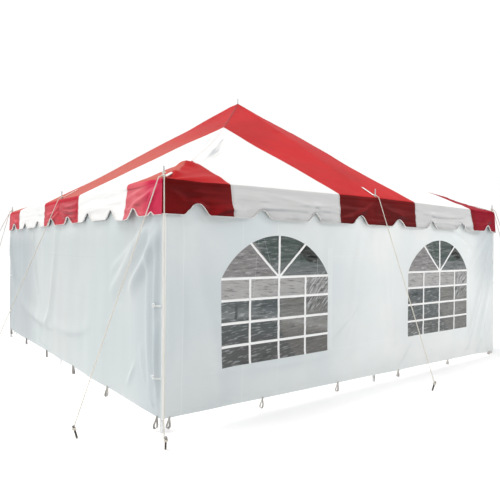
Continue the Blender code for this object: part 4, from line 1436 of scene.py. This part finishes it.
PIN_LINE = 3.0164
pins = {
    "front_left": (-PIN_LINE, -PIN_LINE),
    "front": (0.0, -PIN_LINE),
    "front_right": (PIN_LINE, -PIN_LINE),
    "right": (PIN_LINE, 0.0),
    "back_right": (PIN_LINE, PIN_LINE),
    "back": (0.0, PIN_LINE),
    "back_left": (-PIN_LINE, PIN_LINE),
    "left": (-PIN_LINE, 0.0),
}
for pin_name, (pin_x, pin_y) in pins.items():
    inward = Vector((-pin_x, -pin_y)).normalized()
    sideways = Vector((-inward.y, inward.x))
    length = 0.26 if "_" in pin_name else 0.2
    patch = []
    for across, lift in ((-0.019, 0.001), (-0.0185, 0.0034), (0.0, 0.0042), (0.0185, 0.0034), (0.019, 0.001)):
        line = []
        for number in range(25):
            along = 0.014 + length * number / 24.0
            wave = 0.0035 * math.sin(number * 0.8) ** 2 * (number / 24.0)
            spot = Vector((pin_x, pin_y)) + inward * along + sideways * across
            line.append((spot.x, spot.y, roof_height(spot.x, spot.y) + 0.004 + lift + wave))
        patch.append(line)
    points, faces = [], []
    add_patch(points, faces, np.array(patch)[::-1])
    strap = mesh_object(f"pin_strap_{pin_name}", points, faces, strap_webbing)
    points, faces = [], []
    rings = 20
    for number in range(rings):
        angle = math.tau * number / rings
        for bend in range(8):
            turn = math.tau * bend / 8.0
            radius = 0.0135 + 0.0042 * math.cos(turn)
            x, y = pin_x + radius * math.cos(angle), pin_y + radius * math.sin(angle)
            points.append((x, y, roof_height(x, y) + 0.0016 * math.sin(turn)))
            here, there = number * 8, (number + 1) % rings * 8
            side = (bend + 1) % 8
            faces.append((here + bend, there + bend, there + side, here + side))
    ring = mesh_object(f"pin_ring_{pin_name}", points, faces, ring_metal)
    for piece in (strap, ring):
        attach(piece, "root")


# Stakes
# A short steel stake with a driven, flattened head stands at the foot of each guy rope
# and leans away from the tent. Only the part above the ground is kept.

forged_steel, tree, shader = new_material("forged_steel", {"Metallic": 0.8})
wear = group_node(tree, metal_wear, Grain_scale=25.0, Stain_scale=45.0)
rust = Field(tree, wear.outputs["Stain"]).within(0.45, 0.62)
grain = Field(tree, wear.outputs["Grain"])
unused, unused, height = axes(tree, object_place(tree).source)
soil = 1.0 - height.within(0.004, 0.03)
tone = blend_colours(tree, rust, (0.06, 0.058, 0.055), (0.1, 0.072, 0.056))
tone = blend_colours(tree, height.within(0.098, 0.108) * (1.0 - rust), tone, (0.35, 0.34, 0.33))
tone = blend_colours(tree, soil * 0.7, tone, (0.2, 0.16, 0.11))
tree.links.new(tone.source, shader.inputs["Base Color"])
tree.links.new((rust * 0.35 + grain * 0.15 + 0.35).source, shader.inputs["Roughness"])
bump(tree, shader, grain + rust, 0.0008)
for name, node in nodes.items():
    if name.startswith("stake_"):
        for slot in node.material_slots:
            slot.material = forged_steel


# Guy ropes
# Twelve ropes of three cream strands laid up together run from the pins, over the eaves
# and down to the stakes. Each is hitched round its pin at one end and round the head of
# its stake at the other, so that the tent stands pulled tight.

rope_fibre, tree, shader = new_material("laid_rope", {"Roughness": 0.9})
place = object_place(tree)
fibres = cloudy(tree, place, 420.0, 2.0)
soil = cloudy(tree, place, 6.0, 4.0).within(0.4, 0.75)
tone = blend_colours(tree, fibres, (0.58, 0.55, 0.48), (0.8, 0.77, 0.71))
tone = blend_colours(tree, soil * 0.2, tone, (0.42, 0.39, 0.33))
tree.links.new(tone.source, shader.inputs["Base Color"])
bump(tree, shader, fibres, 0.0005)

rope_sizes = {
    "Strand offset": 0.0028,
    "Strand radius": 0.0031,
    "Lay length": 0.05,
    "Step": 0.008,
    "Strand sides": 6,
    "Fibre": rope_fibre,
}
tree, given, made, size = rule_tree("three_strand_rope", rope_sizes)
route = chain(tree, "GeometryNodeMeshToCurve", given, label="Mesh")
even = chain(tree, "GeometryNodeResampleCurve", route.outputs[0], label="Curve")
even.mode = "LENGTH"
Field(tree, None).feed(even.inputs["Length"], size["Step"])
strands = chain(tree, "GeometryNodeDuplicateElements", even.outputs[0])
strands.domain = "SPLINE"
strands.inputs["Amount"].default_value = 3
own_turn = Field(tree, strands.outputs["Duplicate Index"]) * (math.tau / 3.0)
way = Field(tree, tree.nodes.new("GeometryNodeSplineParameter").outputs["Length"])
angle = way / size["Lay length"] * math.tau + own_turn
normal = tree.nodes.new("GeometryNodeInputNormal").outputs[0]
tangent = tree.nodes.new("GeometryNodeInputTangent").outputs[0]
binormal = tree.nodes.new("ShaderNodeVectorMath")
binormal.operation = "CROSS_PRODUCT"
tree.links.new(normal, binormal.inputs[0])
tree.links.new(tangent, binormal.inputs[1])
legs = []
for direction, turned in ((normal, angle.step("COSINE")), (binormal.outputs[0], angle.step("SINE"))):
    leg = tree.nodes.new("ShaderNodeVectorMath")
    leg.operation = "SCALE"
    tree.links.new(direction, leg.inputs[0])
    tree.links.new((turned * size["Strand offset"]).source, leg.inputs["Scale"])
    legs.append(leg.outputs[0])
aside = tree.nodes.new("ShaderNodeVectorMath")
aside.operation = "ADD"
tree.links.new(legs[0], aside.inputs[0])
tree.links.new(legs[1], aside.inputs[1])
laid = chain(tree, "GeometryNodeSetPosition", strands.outputs[0])
tree.links.new(aside.outputs[0], laid.inputs["Offset"])
section = chain(tree, "GeometryNodeCurvePrimitiveCircle", None)
Field(tree, None).feed(section.inputs["Resolution"], size["Strand sides"])
Field(tree, None).feed(section.inputs["Radius"], size["Strand radius"])
tube = chain(tree, "GeometryNodeCurveToMesh", laid.outputs[0], label="Curve")
tree.links.new(section.outputs[0], tube.inputs["Profile Curve"])
tube.inputs["Fill Caps"].default_value = True
smooth = chain(tree, "GeometryNodeSetShadeSmooth", tube.outputs[0])
whole = chain(tree, "GeometryNodeRealizeInstances", smooth.outputs[0])
painted = chain(tree, "GeometryNodeSetMaterial", whole.outputs[0], Material=size["Fibre"])
tree.links.new(painted.outputs[0], made)

ROPE = 0.006
STAKE_RADIUS = 0.009
STAKE_LENGTH = 0.115
STAKE_LEAN = math.radians(16.0)
guys = {
    "front_left": ((-0.663, 0.325), (-0.151, -0.356)),
    "front": ((0.231, -0.69),),
    "front_right": ((0.95, -0.15), (0.33, -0.65)),
    "right": ((0.9, 0.1),),
    "back_right": ((0.95, 0.1), (0.4, 0.6)),
    "back": ((0.1, 0.75),),
    "back_left": ((-1.1, -0.1), (-0.5, 0.6)),
    "left": ((-0.9, 0.1),),
}


def coil(centre, axis, start_side, radius, turns, rise, steps=12):
    """Points of a rope wound round an axis, starting on one side of it."""
    other = axis.cross(start_side)
    points = []
    for number in range(int(turns * steps) + 1):
        angle = math.tau * number / steps
        side = start_side * math.cos(angle) + other * math.sin(angle)
        points.append(centre + side * radius + axis * rise * number / steps)
    return points


for pin_name, offsets in guys.items():
    pin = Vector((*pins[pin_name], 0.0))
    for number, offset in enumerate(offsets):
        guy = f"{pin_name}_{'ab'[number]}" if len(offsets) > 1 else pin_name
        base = pin + Vector((*offset, 0.0))
        outward = (base - pin).normalized()
        to_edge = (HALF - max(abs(pin.x), abs(pin.y))) / abs(
            outward.x if abs(outward.x) > abs(outward.y) else outward.y
        )
        edge = pin + outward * to_edge
        lift = 0.0075 + number * 0.0128
        bend = edge + outward * 0.012
        bend.z = roof_height(edge.x, edge.y) + lift
        axis = Vector((outward.x * math.sin(STAKE_LEAN), outward.y * math.sin(STAKE_LEAN), math.cos(STAKE_LEAN)))
        tie = Vector((base.x, base.y, 0.0025)) + axis * (STAKE_LENGTH - 0.016)
        up = Vector((0.0, 0.0, 1.0))
        pin_top = roof_height(pin.x, pin.y)
        hitch_centre = Vector((pin.x, pin.y, pin_top + 0.008 + number * 0.026))
        route = coil(hitch_centre, up, -outward, 0.0148, 1.25, 0.0125)
        last = route[-1]
        line = (tie - bend).normalized()
        stake_side = (line - axis * line.dot(axis)).normalized()
        beside = stake_side.cross(axis)
        arrive = tie + beside * (STAKE_RADIUS + ROPE + 0.0004)
        for share in (0.35, 0.7):
            route.append(last.lerp(bend, share))
        route.append(bend)
        drop = bend + (arrive - bend) * 0.012
        route.append(drop)
        for share in np.linspace(0.1, 0.96, 12):
            route.append(bend.lerp(arrive, float(share)))
        route += coil(tie, axis, beside, STAKE_RADIUS + ROPE + 0.0004, 1.75, -0.0128)
        start = line_object(f"guy_route_{guy}", route)
        rope = grown_piece(f"laid_guy_rope_{guy}", tree, rope_sizes, start)
        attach(rope, "root")
        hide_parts(f"guy_rope_{guy}")
